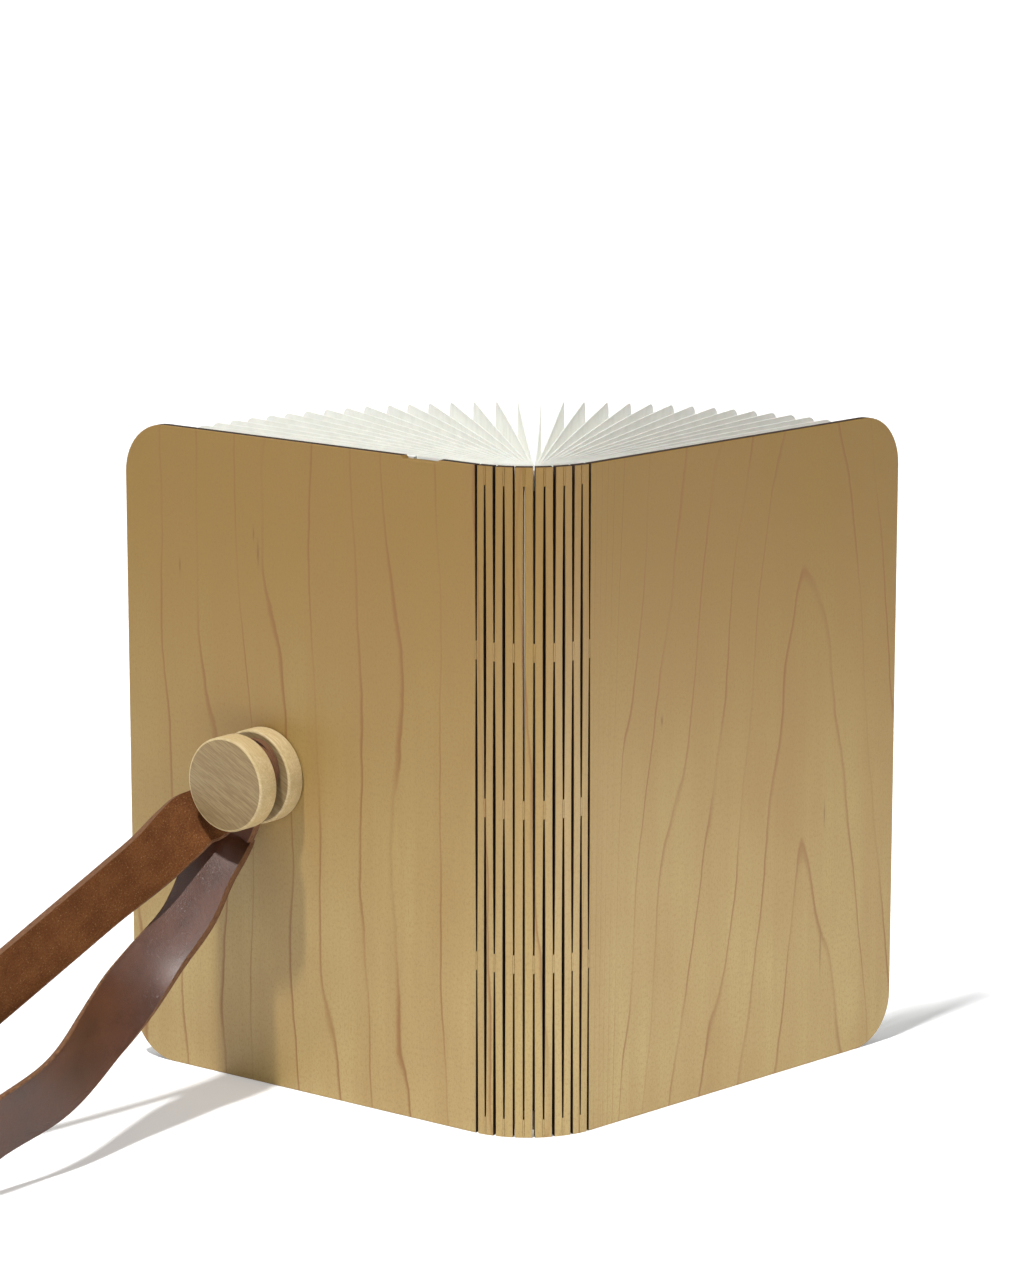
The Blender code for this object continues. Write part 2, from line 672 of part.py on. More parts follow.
def make_page_section(number):
    """One section of the page lantern, in the frame of the whole lamp."""
    name = f"page_section_{number:02d}"
    foot, head = PAGE_FOOT - OVERRUN, HEIGHT - PAGE_HEAD + OVERRUN
    mesh = slab_mesh(name, section_outline(number), foot, head, False)
    section = add_object(name, mesh, "page_sheet", None)
    boolean(section, section_trim(number), "INTERSECT")
    return section


def make_spine_band(name, near, far, margin, material):
    """A flexible band behind the strips, bent with them."""
    half_turn = (pi - OPENING) / 2 - SPINE_END_MARGIN
    centre = spine_centre()
    start, end = -pi / 2 - half_turn, -pi / 2 + half_turn
    outer = arc(centre, SPINE_RADIUS - near, start, end, 2 * STRIP_COUNT)
    inner = arc(centre, SPINE_RADIUS - far, end, start, 2 * STRIP_COUNT)
    mesh = slab_mesh(name, outer + inner, margin, HEIGHT - margin, False)
    return add_object(name, mesh, material, None)


def make_peg(axis):
    """Two wooden discs on one axle, with the magnet that clings to the keeper in the cover."""
    peg_axis = make_axis("peg_axis", axis, (PEG_ALONG, 0, PEG_UP), 0)
    radius = PEG_DIAMETER / 2
    hole = AXLE_DIAMETER / 2 + CLEARANCE
    magnet_hole = PEG_MAGNET_DIAMETER / 2 + CLEARANCE
    magnet_back = REAR_DISC_FACE + CLEARANCE
    magnet_front = magnet_back + PEG_MAGNET_THICKNESS
    axle_back = REAR_DISC_FRONT - AXLE_IN_REAR
    axle_front = FRONT_DISC_FACE + AXLE_IN_FRONT
    rear_profile = [
        (0, axle_back - CLEARANCE), (hole, axle_back - CLEARANCE), (hole, REAR_DISC_FRONT),
        (radius - DISC_EDGE, REAR_DISC_FRONT), (radius, REAR_DISC_FRONT - DISC_EDGE),
        (radius, REAR_DISC_FACE + DISC_EDGE), (radius - DISC_EDGE, REAR_DISC_FACE),
        (magnet_hole, REAR_DISC_FACE), (magnet_hole, magnet_front + CLEARANCE),
        (0, magnet_front + CLEARANCE),
    ]
    turned_object("peg_rear_disc", rear_profile, "maple_peg", peg_axis, (0, 0, 0))
    front_profile = [
        (0, FRONT_DISC_FRONT), (radius - DISC_EDGE, FRONT_DISC_FRONT),
        (radius, FRONT_DISC_FRONT - DISC_EDGE), (radius, FRONT_DISC_FACE + DISC_EDGE),
        (radius - DISC_EDGE, FRONT_DISC_FACE), (hole, FRONT_DISC_FACE),
        (hole, axle_front + CLEARANCE), (0, axle_front + CLEARANCE),
    ]
    turned_object("peg_front_disc", front_profile, "maple_peg", peg_axis, (0, 0, 0))
    magnet_profile = [
        (0, magnet_front), (PEG_MAGNET_DIAMETER / 2, magnet_front),
        (PEG_MAGNET_DIAMETER / 2, magnet_back), (0, magnet_back),
    ]
    turned_object("peg_magnet", magnet_profile, "steel", peg_axis, (0, 0, 0))
    axle_radius = AXLE_DIAMETER / 2
    axle_profile = [
        (0, axle_front), (axle_radius - AXLE_EDGE, axle_front), (axle_radius, axle_front - AXLE_EDGE),
        (axle_radius, axle_back + AXLE_EDGE), (axle_radius - AXLE_EDGE, axle_back), (0, axle_back),
    ]
    turned_object("peg_axle", axle_profile, "brass", peg_axis, (0, 0, 0))


def strap_route():
    """The strap's middle line, one row a place: along the cover, outwards, up, and the band's tilt.

    The lower leg is the rear layer on the axle and comes to stand on its edge where the loop lies on
    the floor. The upper leg comes back as the front layer and turns in beside the peg's front disc.
    """
    rear = REAR_DISC_FRONT + CLEARANCE + STRAP_THICKNESS / 2
    front = FRONT_DISC_FACE - CLEARANCE - STRAP_THICKNESS / 2
    rim = PEG_DIAMETER / 2
    bend = STRAP_BEND_RADIUS

    def beside_peg(lean, layer, away, out):
        return (sin(lean) * away, layer + out, -cos(lean) * away, lean)

    def in_loop(lean, shares):
        sway, reach, fall, turned = shares
        drop = PEG_UP - STRAP_WIDTH / 2 - CLEARANCE
        return (STRAP_SWAY * sway, STRAP_OUT * reach, -drop * fall, lean + (pi / 2 - lean) * turned)

    low, high = LOWER_LEG_LEAN, UPPER_LEG_LEAN
    lower = [beside_peg(low, rear, away, 0) for away in (-STRAP_TAB, 0, rim / 2, rim - bend / 3)]
    lower.append(beside_peg(low, rear, rim + bend / 3, 0))
    lower.append(beside_peg(low, rear, rim + bend, bend / 9))
    lower += [in_loop(low, shares) for shares in LOWER_LEG_SHARES]
    upper = [beside_peg(high, front, away, 0) for away in (-STRAP_TAB, 0, rim / 2, rim - bend / 3)]
    upper.append(beside_peg(high, front, rim + bend / 2, bend / 20))
    upper.append(beside_peg(high, front, rim + bend, bend / 2))
    upper.append(beside_peg(high, front, rim + bend * 1.1, bend * 1.25))
    return lower + [in_loop(high, shares) for shares in UPPER_LEG_SHARES] + upper[::-1]


def smooth_rows(rows, steps):
    """A smooth curve through the rows: so many steps to each stretch, and each row's place in it."""
    rows = np.array(rows)
    knots = np.concatenate([[0], np.cumsum(np.linalg.norm(np.diff(rows[:, :3], axis=0), axis=1))])
    slopes = np.gradient(rows, knots, axis=0)
    t = (np.arange(steps) / steps)[None, :, None]
    h = np.diff(knots)[:, None, None]
    first, last = rows[:-1, None, :], rows[1:, None, :]
    leaving, coming = slopes[:-1, None, :] * h, slopes[1:, None, :] * h
    curve = ((2 * t**3 - 3 * t**2 + 1) * first + (t**3 - 2 * t**2 + t) * leaving
             + (3 * t**2 - 2 * t**3) * last + (t**3 - t**2) * coming)
    return np.concatenate([curve.reshape(-1, rows.shape[1]), rows[-1:]])


def make_strap(axis):
    """The leather band: one rectangular section carried along the route, with round ends."""
    strap_axis = make_axis("strap_axis", axis, (PEG_ALONG, 0, PEG_UP), 0)
    fine = smooth_rows(strap_route(), STRAP_FINE_STEPS)
    walked = np.concatenate([[0], np.cumsum(np.linalg.norm(np.diff(fine[:, :3], axis=0), axis=1))])
    half = STRAP_WIDTH / 2
    turns = np.linspace(0, pi / 2, STRAP_END_STEPS + 2)[1:]
    rounded = half * (1 - np.cos(turns))
    inner = walked[::STRAP_FINE_STEPS // STRAP_STEPS]
    inner = inner[(inner > half * 1.1) & (inner < walked[-1] - half * 1.1)]
    stations = np.concatenate([rounded, inner, walked[-1] - rounded[::-1]])
    even = np.stack([np.interp(stations, walked, column) for column in fine.T], axis=1)
    places, tilt = even[:, :3], even[:, 3]
    slopes = np.gradient(fine, walked, axis=0).T
    slope = np.stack([np.interp(stations, walked, column) for column in slopes], axis=1)
    along = slope[:, :3] / np.linalg.norm(slope[:, :3], axis=1, keepdims=True)
    wide = np.stack([np.cos(tilt), np.zeros_like(tilt), np.sin(tilt)], axis=1)
    wide -= along * np.sum(wide * along, axis=1, keepdims=True)
    wide /= np.linalg.norm(wide, axis=1, keepdims=True)
    face = np.cross(wide, along)
    spare = np.clip(half - np.minimum(stations, walked[-1] - stations), 0, half)
    side = wide * np.sqrt(half**2 - spare**2)[:, None]
    depth = face * STRAP_THICKNESS / 2
    corners = np.stack([places + side + depth, places - side + depth, places - side - depth,
                        places + side - depth], axis=1).reshape(-1, 3)
    faces = []
    for near in range(0, len(corners) - 4, 4):
        for k in range(4):
            m = (k + 1) % 4
            faces.append((near + k, near + m, near + 4 + m, near + 4 + k))
    last = len(corners) - 4
    faces.append((3, 2, 1, 0))
    faces.append((last, last + 1, last + 2, last + 3))
    mesh = bpy.data.meshes.new("leather_strap_cage")
    mesh.from_pydata(corners.tolist(), [], faces)
    bm = bmesh.new()
    bm.from_mesh(mesh)
    bpy.data.meshes.remove(mesh)
    bmesh.ops.triangulate(bm, faces=bm.faces)
    strap = add_object("leather_strap", finish_mesh(bm, "leather_strap"), "leather", strap_axis)
    hole = disc_mesh("strap_hole", 0, 0, AXLE_DIAMETER / 2 + CLEARANCE,
                     REAR_DISC_FRONT - OVERRUN, FRONT_DISC_FACE + OVERRUN)
    cut(strap, "strap_hole", [hole], strap_axis)
    lowest = corners[:, 2].min() + PEG_UP
    print("strap length", round(walked[-1], 4), "lowest point", round(lowest, 5))


def main():
    axes = make_axes()
    for number in range(1, STRIP_COUNT + 1):
        make_strip(number, axes[number])
    make_left_cover(axes[0])
    make_right_cover(axes[STRIP_COUNT + 1])
    make_spine_band("led_flex", LINER_FACE, LINER_FACE + LED_FLEX_THICKNESS, LED_FLEX_MARGIN, "board")
    make_spine_band("spine_diffuser", LINER_FACE + LED_FLEX_THICKNESS + CLEARANCE, ENDPAPER_BACK,
                    DIFFUSER_MARGIN, "diffuser")
    for number in range(1, SECTION_COUNT + 1):
        make_page_section(number)
    make_peg(axes[0])
    make_strap(axes[0])
    bpy.context.view_layer.update()


main()
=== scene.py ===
# %% [markdown]
# # A folding book lamp in a slit sheet of maple
# The real lamp is one sheet of maple, cut by a laser into two covers and a spine that bends, with a
# fan of white pleated pages behind it and a leather strap on a round peg. The CAD model comes in as a
# fixed frame, and this lesson dresses it: the wood, the pages and the strap are worked out with numpy
# as functions of two parameters, and every finish is a network of procedural nodes. Modelling by
# hand with the mouse would do as well, but a formula can be read, checked and changed.

# %% Load the frame
import math
import bmesh
import bpy
import numpy as np
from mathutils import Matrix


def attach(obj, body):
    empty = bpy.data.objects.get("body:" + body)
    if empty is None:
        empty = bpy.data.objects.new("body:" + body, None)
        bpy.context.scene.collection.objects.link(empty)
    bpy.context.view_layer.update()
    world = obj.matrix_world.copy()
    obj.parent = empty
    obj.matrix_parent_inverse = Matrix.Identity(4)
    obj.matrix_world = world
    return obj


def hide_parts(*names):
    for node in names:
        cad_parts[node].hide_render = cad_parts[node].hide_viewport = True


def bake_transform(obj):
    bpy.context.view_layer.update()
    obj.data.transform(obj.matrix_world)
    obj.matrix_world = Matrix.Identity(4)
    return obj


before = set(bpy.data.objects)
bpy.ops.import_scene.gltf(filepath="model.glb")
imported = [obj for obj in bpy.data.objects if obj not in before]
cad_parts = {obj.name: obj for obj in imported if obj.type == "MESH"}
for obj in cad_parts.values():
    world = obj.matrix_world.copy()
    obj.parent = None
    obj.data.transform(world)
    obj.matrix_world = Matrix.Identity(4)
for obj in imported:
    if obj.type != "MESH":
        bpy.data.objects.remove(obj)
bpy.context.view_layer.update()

# %% [markdown]
# ## The sheet of wood, laid flat and bent
# Covers and spine are one sheet, so its places are easiest to give on the flat sheet: `along`, the
# distance from the middle column of slits, and `up`, the height. The bent sheet is a chain of flat
# panels, number 0 the left cover, 1 to 12 the strips of the spine and 13 the right cover, and each
# panel is turned by one and the same small angle against the one before.

# %% Measures of the sheet
MM = 0.001
HEIGHT = 215.9 * MM
COVER_REACH = 146 * MM
CORNER_RADIUS = 17 * MM
HALF_WOOD = 1.5 * MM
PITCH = 3.035 * MM
COLUMNS = 13
MIDDLE_COLUMN = 7
OPENING = math.radians(98)
BEND = (math.pi - OPENING) / COLUMNS
SPINE_RADIUS = PITCH / (2 * math.sin(BEND / 2))
MIDDLE_LINE = -PITCH / 2 * np.array([math.cos(BEND / 2), math.sin(BEND / 2)])
SPINE_CENTRE = MIDDLE_LINE + np.array([0, SPINE_RADIUS])


def hinge_line(column):
    """Where a column of slits stands: equal steps of angle on the circle of the spine."""
    turn = (column - MIDDLE_COLUMN) * BEND
    return SPINE_CENTRE + SPINE_RADIUS * np.array([math.sin(turn), -math.cos(turn)])


def sheet_along(column):
    return (column - MIDDLE_COLUMN) * PITCH


def panel_place(panel, along, out, up):
    """A place on a panel of the bent sheet: its hinge line, plus the way along the panel, plus the
    way out of its middle plane, away from the pages."""
    turn = (panel - MIDDLE_COLUMN + 0.5) * BEND
    column = max(panel, 1)
    along, out, up = np.broadcast_arrays(along, out, up)
    step = along - sheet_along(column)
    start = hinge_line(column)
    x = start[0] + step * math.cos(turn) + out * math.sin(turn)
    y = start[1] + step * math.sin(turn) - out * math.cos(turn)
    return np.stack([x, y, up], axis=-1)


print("spine radius", round(SPINE_RADIUS, 5), "columns at", hinge_line(1), hinge_line(COLUMNS))

# %% [markdown]
# ## From arrays to a closed piece
# A surface is a grid of points. Neighbouring points of the grid make four-cornered faces, and each
# piece is closed by faces over its ends. One helper turns points, faces, finishes and flat
# coordinates into a mesh, and lets Blender turn all faces outwards, which it can on closed shapes.

# %% Mesh helpers
def placed(name, data):
    """An object of its own for a mesh, lamp or camera, in the scene's collection."""
    made = bpy.data.objects.new(name, data)
    bpy.context.scene.collection.objects.link(made)
    return made


def make_piece(name, places, faces, finishes, finish_of_face=None, flat=None, crisp=35):
    """Points, faces and one finish per face become a mesh object; flat holds each point's place on
    the flat sheet or along a band, and goes into the UV map."""
    places = np.asarray(places, float).reshape(-1, 3)
    mesh = bpy.data.meshes.new(name)
    mesh.from_pydata(places.tolist(), [], [list(map(int, face)) for face in faces])
    for finish in finishes:
        mesh.materials.append(finish)
    if finish_of_face is not None:
        mesh.polygons.foreach_set("material_index", np.asarray(finish_of_face, np.int32))
    if flat is not None:
        corners = np.zeros(len(mesh.loops), np.int32)
        mesh.loops.foreach_get("vertex_index", corners)
        layer = mesh.uv_layers.new(name="sheet")
        flat = np.asarray(flat, float).reshape(-1, 2)
        layer.data.foreach_set("uv", flat[corners].ravel())
    bm = bmesh.new()
    bm.from_mesh(mesh)
    bmesh.ops.recalc_face_normals(bm, faces=bm.faces)
    bm.to_mesh(mesh)
    bm.free()
    mesh.shade_smooth()
    mesh.set_sharp_from_angle(angle=math.radians(crisp))
    return placed(name, mesh)


def tube_faces(rings, around, first=0):
    """Faces of a tube: quads between neighbouring rings, column after column of the ring, and one
    flat face over each end."""
    ring = np.arange(rings - 1)[:, None] * around + first
    here = np.arange(around)[None, :]
    after = (here + 1) % around
    quads = np.stack([ring + here, ring + after, ring + around + after, ring + around + here], axis=-1)
    ends = [list(range(first, first + around))[::-1],
            list(range(first + (rings - 1) * around, first + rings * around))]
    return quads.reshape(-1, 4).tolist() + ends


def tube_columns(rings, around):
    """For each face of such a tube, its column round the ring; the ends have their own number."""
    sides = np.tile(np.arange(around), rings - 1)
    return np.concatenate([sides, [around, around]])


print("helpers ready")

# %% [markdown]
# ## Node helpers
# A finish is a short network of nodes. These helpers add one node at a time and join it to what
# feeds it, so that each material below reads like a recipe.

# %% Node helpers
def new_finish(name, roughness, **sockets):
    """A material with its main shader; plain values are set on the shader's own sockets."""
    finish = bpy.data.materials.new(name)
    finish.use_nodes = True
    shader = finish.node_tree.nodes["Principled BSDF"]
    shader.inputs["Roughness"].default_value = roughness
    for socket, value in sockets.items():
        shader.inputs[socket.replace("_", " ")].default_value = value
    return finish, finish.node_tree, shader


def add(tree, kind, inputs=(), **settings):
    """A node with its settings; an input is a plain value or the output that feeds it."""
    node = tree.nodes.new("ShaderNode" + kind)
    for key, value in settings.items():
        setattr(node, key, value)
    for key, value in dict(inputs).items():
        if isinstance(value, bpy.types.NodeSocket):
            tree.links.new(value, node.inputs[key])
        else:
            node.inputs[key].default_value = value
    return node


def calc(tree, operation, *values):
    """One step of arithmetic on values or outputs."""
    return add(tree, "Math", dict(enumerate(values)), operation=operation).outputs[0]


def noise(tree, vector, scale, detail=3.0, rough=0.55):
    inputs = {"Vector": vector, "Scale": scale, "Detail": detail, "Roughness": rough}
    return add(tree, "TexNoise", inputs).outputs["Fac"]


def stretched(tree, vector, scale, turn=(0, 0, 0), shift=(0, 0, 0)):
    """The same coordinates, turned and drawn out, for fibres and grain."""
    inputs = {"Vector": vector, "Scale": scale, "Rotation": turn, "Location": shift}
    return add(tree, "Mapping", inputs).outputs[0]


def drawn_out(tree, vector, scale, detail=3.0, rough=0.55):
    """Noise with its own scale in each direction: a small scale gives a long grain."""
    return noise(tree, stretched(tree, vector, scale), 1.0, detail, rough)


def object_place(tree):
    return add(tree, "TexCoord").outputs["Object"]


def flat_place_of(tree):
    """The piece's own flat coordinates in metres, along and up the sheet or along a band."""
    return add(tree, "UVMap", uv_map="sheet").outputs[0]


def sheet_millimetres(tree, flat):
    """The ways along and up the sheet in millimetres."""
    parts = add(tree, "SeparateXYZ", {0: flat})
    return [calc(tree, "MULTIPLY", parts.outputs[part], 1 / MM) for part in (0, 1)]


def remap(tree, value, low, high, start=0.0, end=1.0):
    """Stretches a range of values smoothly over another."""
    inputs = {"Value": value, "From Min": low, "From Max": high, "To Min": start, "To Max": end}
    return add(tree, "MapRange", inputs, interpolation_type="SMOOTHSTEP").outputs[0]


def mixed(tree, factor, first, second):
    return add(tree, "Mix", {0: factor, 6: first, 7: second}, data_type="RGBA").outputs[2]


def colour(red, green, blue):
    """An sRGB colour, 0 to 255, as the linear values that Blender takes."""
    channels = [value / 255 for value in (red, green, blue)]
    return (*[c / 12.92 if c < 0.04 else ((c + 0.055) / 1.055) ** 2.4 for c in channels], 1.0)


def glazed(tree, shade, *layers):
    """Lays tones over a shade, one after another. A layer is a value, the range of it that counts,
    how much the tone covers at the end of that range, and the tone."""
    for value, low, high, cover, tone in layers:
        shade = mixed(tree, remap(tree, value, low, high, 0.0, cover), shade, colour(*tone))
    return shade


def dress(tree, shader, shade, relief, depth):
    """Joins the colour and a fine relief, its depth in metres, to the main shader."""
    tree.links.new(shade, shader.inputs["Base Color"])
    inputs = {"Height": relief, "Distance": depth, "Strength": 1.0}
    tree.links.new(add(tree, "Bump", inputs).outputs[0], shader.inputs["Normal"])


print("a mid maple tone:", [round(c, 3) for c in colour(196, 160, 108)])

# %% [markdown]
# ## Finish: maple veneer
# Maple is pale and honey-coloured, with thin reddish growth lines that run up the sheet. On a sheet cut
# off-centre from the log, the lines close into pointed arches. A log is nearly a cone, so a growth ring
# is where the distance from the log's middle, less a small share of the height, is constant. That
# formula gives the arches at once, and noise that changes slowly up the sheet makes them wander. The
# sheet also gets a little paler towards its foot, as it looks in the photograph: in part that is the
# wood's own tone, and in part painted light, for the light that reaches the foot more than the head. An
# image would look right from one distance only, and a wave texture alone has no arches.

# %% Maple
def growth_lines(tree, along, up, warp):
    """How strongly a growth line shows: the rings' number counted outwards from two log middles,
    one behind each cover, and only the last part of every ring is dark."""
    def rings(middle, depth, taper, spacing, offset):
        away = calc(tree, "SUBTRACT", along, middle)
        away = calc(tree, "ADD", away, warp)
        squares = calc(tree, "MULTIPLY_ADD", away, away, depth * depth)
        distance = calc(tree, "SQRT", squares)
        raised = calc(tree, "MULTIPLY_ADD", up, taper, distance)
        return calc(tree, "MULTIPLY_ADD", raised, 1 / spacing, offset)

    right = rings(121.0, 5.0, 0.16, 15.5, 0.30)
    left = rings(-205.0, 9.0, 0.035, 16.0, 0.4)
    side = remap(tree, along, 10.0, 34.0)
    count = add(tree, "Mix", {0: side, 2: left, 3: right}, data_type="FLOAT").outputs[0]
    vector = add(tree, "CombineXYZ", {"X": along, "Y": 0.0, "Z": 0.0}).outputs[0]
    uneven = noise(tree, vector, 0.045, 1.0)
    count = calc(tree, "MULTIPLY_ADD", uneven, 1.1, count)
    part = calc(tree, "FRACT", count)
    rise = remap(tree, part, 0.90, 0.968)
    fall = remap(tree, part, 0.968, 0.995, 1.0, 0.0)
    return calc(tree, "MULTIPLY", rise, fall), part


def fleck(tree, along, up, place, size):
    """One short dark fleck in the wood: an upright spot that fades with distance."""
    across = calc(tree, "DIVIDE", calc(tree, "SUBTRACT", along, place[0]), size[0])
    height = calc(tree, "DIVIDE", calc(tree, "SUBTRACT", up, place[1]), size[1])
    square = calc(tree, "MULTIPLY_ADD", across, across, calc(tree, "MULTIPLY", height, height))
    return calc(tree, "EXPONENT", calc(tree, "MULTIPLY", square, -1.0))


FLECKS = (((-107.2, 178.0), (0.45, 3.6)), ((-140.9, 170.1), (0.4, 2.2)),
          ((-109.0, 184.0), (0.3, 2.0)), ((128.3, 38.3), (0.35, 6.5)),
          ((51.0, 129.0), (0.5, 1.6)), ((129.5, 85.0), (0.3, 4.0)))


def make_maple():
    finish, tree, shader = new_finish("maple", 0.46, Coat_Weight=0.06, Coat_Roughness=0.35)
    along, up = sheet_millimetres(tree, flat_place_of(tree))
    plane = add(tree, "CombineXYZ", {"X": along, "Y": up, "Z": 0.0}).outputs[0]
    slow = drawn_out(tree, plane, (0.022, 0.0095, 1), 2.0, 0.4)
    quick = drawn_out(tree, plane, (0.06, 0.07, 1), 4.0)
    warp = calc(tree, "MULTIPLY_ADD", slow, 17.0, -8.5)
    warp = calc(tree, "ADD", warp, calc(tree, "MULTIPLY_ADD", quick, 1.6, -0.8))
    line, part = growth_lines(tree, along, up, warp)
    faint = remap(tree, drawn_out(tree, plane, (0.05, 0.012, 1), 1.0), 0.35, 0.62, 0.25, 1.0)
    line = calc(tree, "MULTIPLY", line, faint)
    streak = drawn_out(tree, plane, (0.075, 0.0035, 1))
    cloud = drawn_out(tree, plane, (0.02, 0.016, 1), 2.0)
    fibre = drawn_out(tree, plane, (2.6, 0.05, 1), 4.0, 0.7)
    pore = drawn_out(tree, plane, (1.5, 0.9, 1), 4.0, 0.75)
    # Partly painted light: the tone darkens from the foot to the head, partly the wood's own tone and
    # partly standing in for the light that reaches the foot more.
    shade = mixed(tree, remap(tree, up, 15.0, 205.0), colour(182, 160, 106), colour(144, 114, 50))
    shade = glazed(tree, shade, (streak, 0.36, 0.64, 0.22, (146, 110, 58)),
                   (cloud, 0.30, 0.70, 0.28, (150, 114, 62)))
    shade = mixed(tree, calc(tree, "MULTIPLY", part, 0.10), shade, colour(148, 110, 58))
    shade = glazed(tree, shade, (fibre, 0.30, 0.70, 0.12, (146, 110, 60)),
                   (pore, 0.46, 0.66, 0.36, (138, 101, 52)))
    shade = mixed(tree, calc(tree, "MULTIPLY", line, 0.8), shade, colour(134, 90, 44))
    for place, size in FLECKS:
        mark = calc(tree, "MULTIPLY", fleck(tree, along, up, place, size), 0.6)
        shade = mixed(tree, mark, shade, colour(110, 74, 42))
    tree.links.new(remap(tree, fibre, 0.2, 0.8, 0.42, 0.52), shader.inputs["Roughness"])
    dress(tree, shader, shade, fibre, 0.00002)
    return finish


maple = make_maple()
print("maple has", len(maple.node_tree.nodes), "nodes")

# %% [markdown]
# ## Finish: the laser's cut
# The laser chars the wood where it cuts, so the sheet's edges and the walls of the slits are dark
# brown to black, with fine upright scorch marks.

# %% Charred edge
def make_char():
    finish, tree, shader = new_finish("charred_cut", 0.85)
    scorch = drawn_out(tree, object_place(tree), (2600, 2600, 160))
    shade = mixed(tree, remap(tree, scorch, 0.3, 0.7), colour(26, 16, 10), colour(66, 42, 24))
    dress(tree, shader, shade, scorch, 0.00003)
    return finish


char = make_char()
print("char has", len(char.node_tree.nodes), "nodes")

# %% [markdown]
# ## The slits
# Thirteen columns of long slits turn the middle of the sheet into a hinge. A slit between two
# bridges is widest half way along, a slit that opens at the sheet's edge is widest there, and both
# narrow towards the bridges. Columns 5, 6 and 7 look narrower in the photograph and are made so. Odd
# columns have two bridges, even ones three, so that the bridges never stand side by side.

# %% Slit columns
SLIT_HALF_END = 0.17 * MM
SLIT_HALF_WIDE = 0.42 * MM
NARROW_COLUMNS = {5: 0.35, 6: 0.45, 7: 0.6}
BRIDGE_HALF = 3 * MM
ODD_BRIDGES = (0.264 * HEIGHT, 0.729 * HEIGHT)
EVEN_BRIDGE = 0.496 * HEIGHT


def bridges(column):
    """Foot and head of each bridge across a column."""
    if column % 2:
        return [(middle - BRIDGE_HALF, middle + BRIDGE_HALF) for middle in ODD_BRIDGES]
    middle = (EVEN_BRIDGE - BRIDGE_HALF, EVEN_BRIDGE + BRIDGE_HALF)
    return [(0, 2 * BRIDGE_HALF), middle, (HEIGHT - 2 * BRIDGE_HALF, HEIGHT)]


def slit_half(column, up):
    """Half the slit's width at a height: its width beside a bridge, plus a wave between the two
    bridges: half a sine, or a quarter where the slit opens at the sheet's edge."""
    up = np.asarray(up, float)
    feet = np.array([0] + [head for _, head in bridges(column)])
    heads = np.array([foot for foot, _ in bridges(column)] + [HEIGHT])
    share = (up[..., None] - feet) / np.maximum(heads - feet, 1e-9)
    inside = (share >= 0) & (share <= 1) & (heads - feet > MM)
    share = np.clip(share, 0, 1)
    wave = np.sin(np.pi * share) ** 0.8
    if column % 2:
        wave[..., 0] = np.cos(np.pi / 2 * share[..., 0])
        wave[..., -1] = np.sin(np.pi / 2 * share[..., -1])
    wave = np.where(inside, wave, 0).max(axis=-1)
    return SLIT_HALF_END + (SLIT_HALF_WIDE - SLIT_HALF_END) * wave * NARROW_COLUMNS.get(column, 1.0)


heights = np.linspace(0, HEIGHT, 9)
print("half widths, column 1, mm:", np.round(slit_half(1, heights) / MM, 2))

# %% [markdown]
# ## Covers
# A cover is a plate with two round corners. Its face is a grid: columns across the cover, and each
# column runs from the plate's lower edge to its upper edge, which both follow the round corners. The
# plate's rim is carried round the grid's border in four rings, so its edges are slightly eased. A
# bevelled cube would need the rim picked out again by angle, and the charred cut would be lost.

# %% Cover plates
EASE = 0.22 * MM
NOTCH = (14.5 * MM, 15.4 * MM, 28.6 * MM, 29.5 * MM)
NOTCH_DEPTH = 1.0 * MM


def plate_grid(column, inset, notched):
    """The face of a cover as a grid. Across: straight part, then equal steps of angle round the
    corner. Up: equal shares between the lower and the upper edge, which draw in by the radius less
    its circle."""
    centre = COVER_REACH - CORNER_RADIUS
    radius = CORNER_RADIUS - inset
    start = PITCH / 10
    inner = np.concatenate([[start + inset], [2.5 * MM, 8 * MM, 14 * MM], NOTCH,
                            np.linspace(34 * MM, centre, 14)])
    turned = np.linspace(0, math.pi / 2, 15)[1:]
    across = np.concatenate([inner, centre + radius * np.sin(turned)])
    share = (1 - np.cos(np.linspace(0, math.pi, 61))) / 2
    round_in = np.concatenate([np.zeros(len(inner)), radius * (1 - np.cos(turned))])
    cut = np.where((across > NOTCH[0] + 1e-6) & (across < NOTCH[3] - 1e-6), NOTCH_DEPTH, 0) * notched
    foot = inset + round_in
    head = HEIGHT - inset - round_in - cut
    up = foot[:, None] + (head - foot)[:, None] * share[None, :]
    across = np.repeat(across[:, None], len(share), axis=1)
    across[0] = slit_half(column, up[0]) + inset
    return across, up


def border(columns, rows):
    """The grid's border, walked once round."""
    low = [(i, 0) for i in range(columns)]
    far = [(columns - 1, j) for j in range(1, rows)]
    high = [(i, rows - 1) for i in range(columns - 2, -1, -1)]
    near = [(0, j) for j in range(rows - 2, 0, -1)]
    return np.array([i * rows + j for i, j in low + far + high + near])


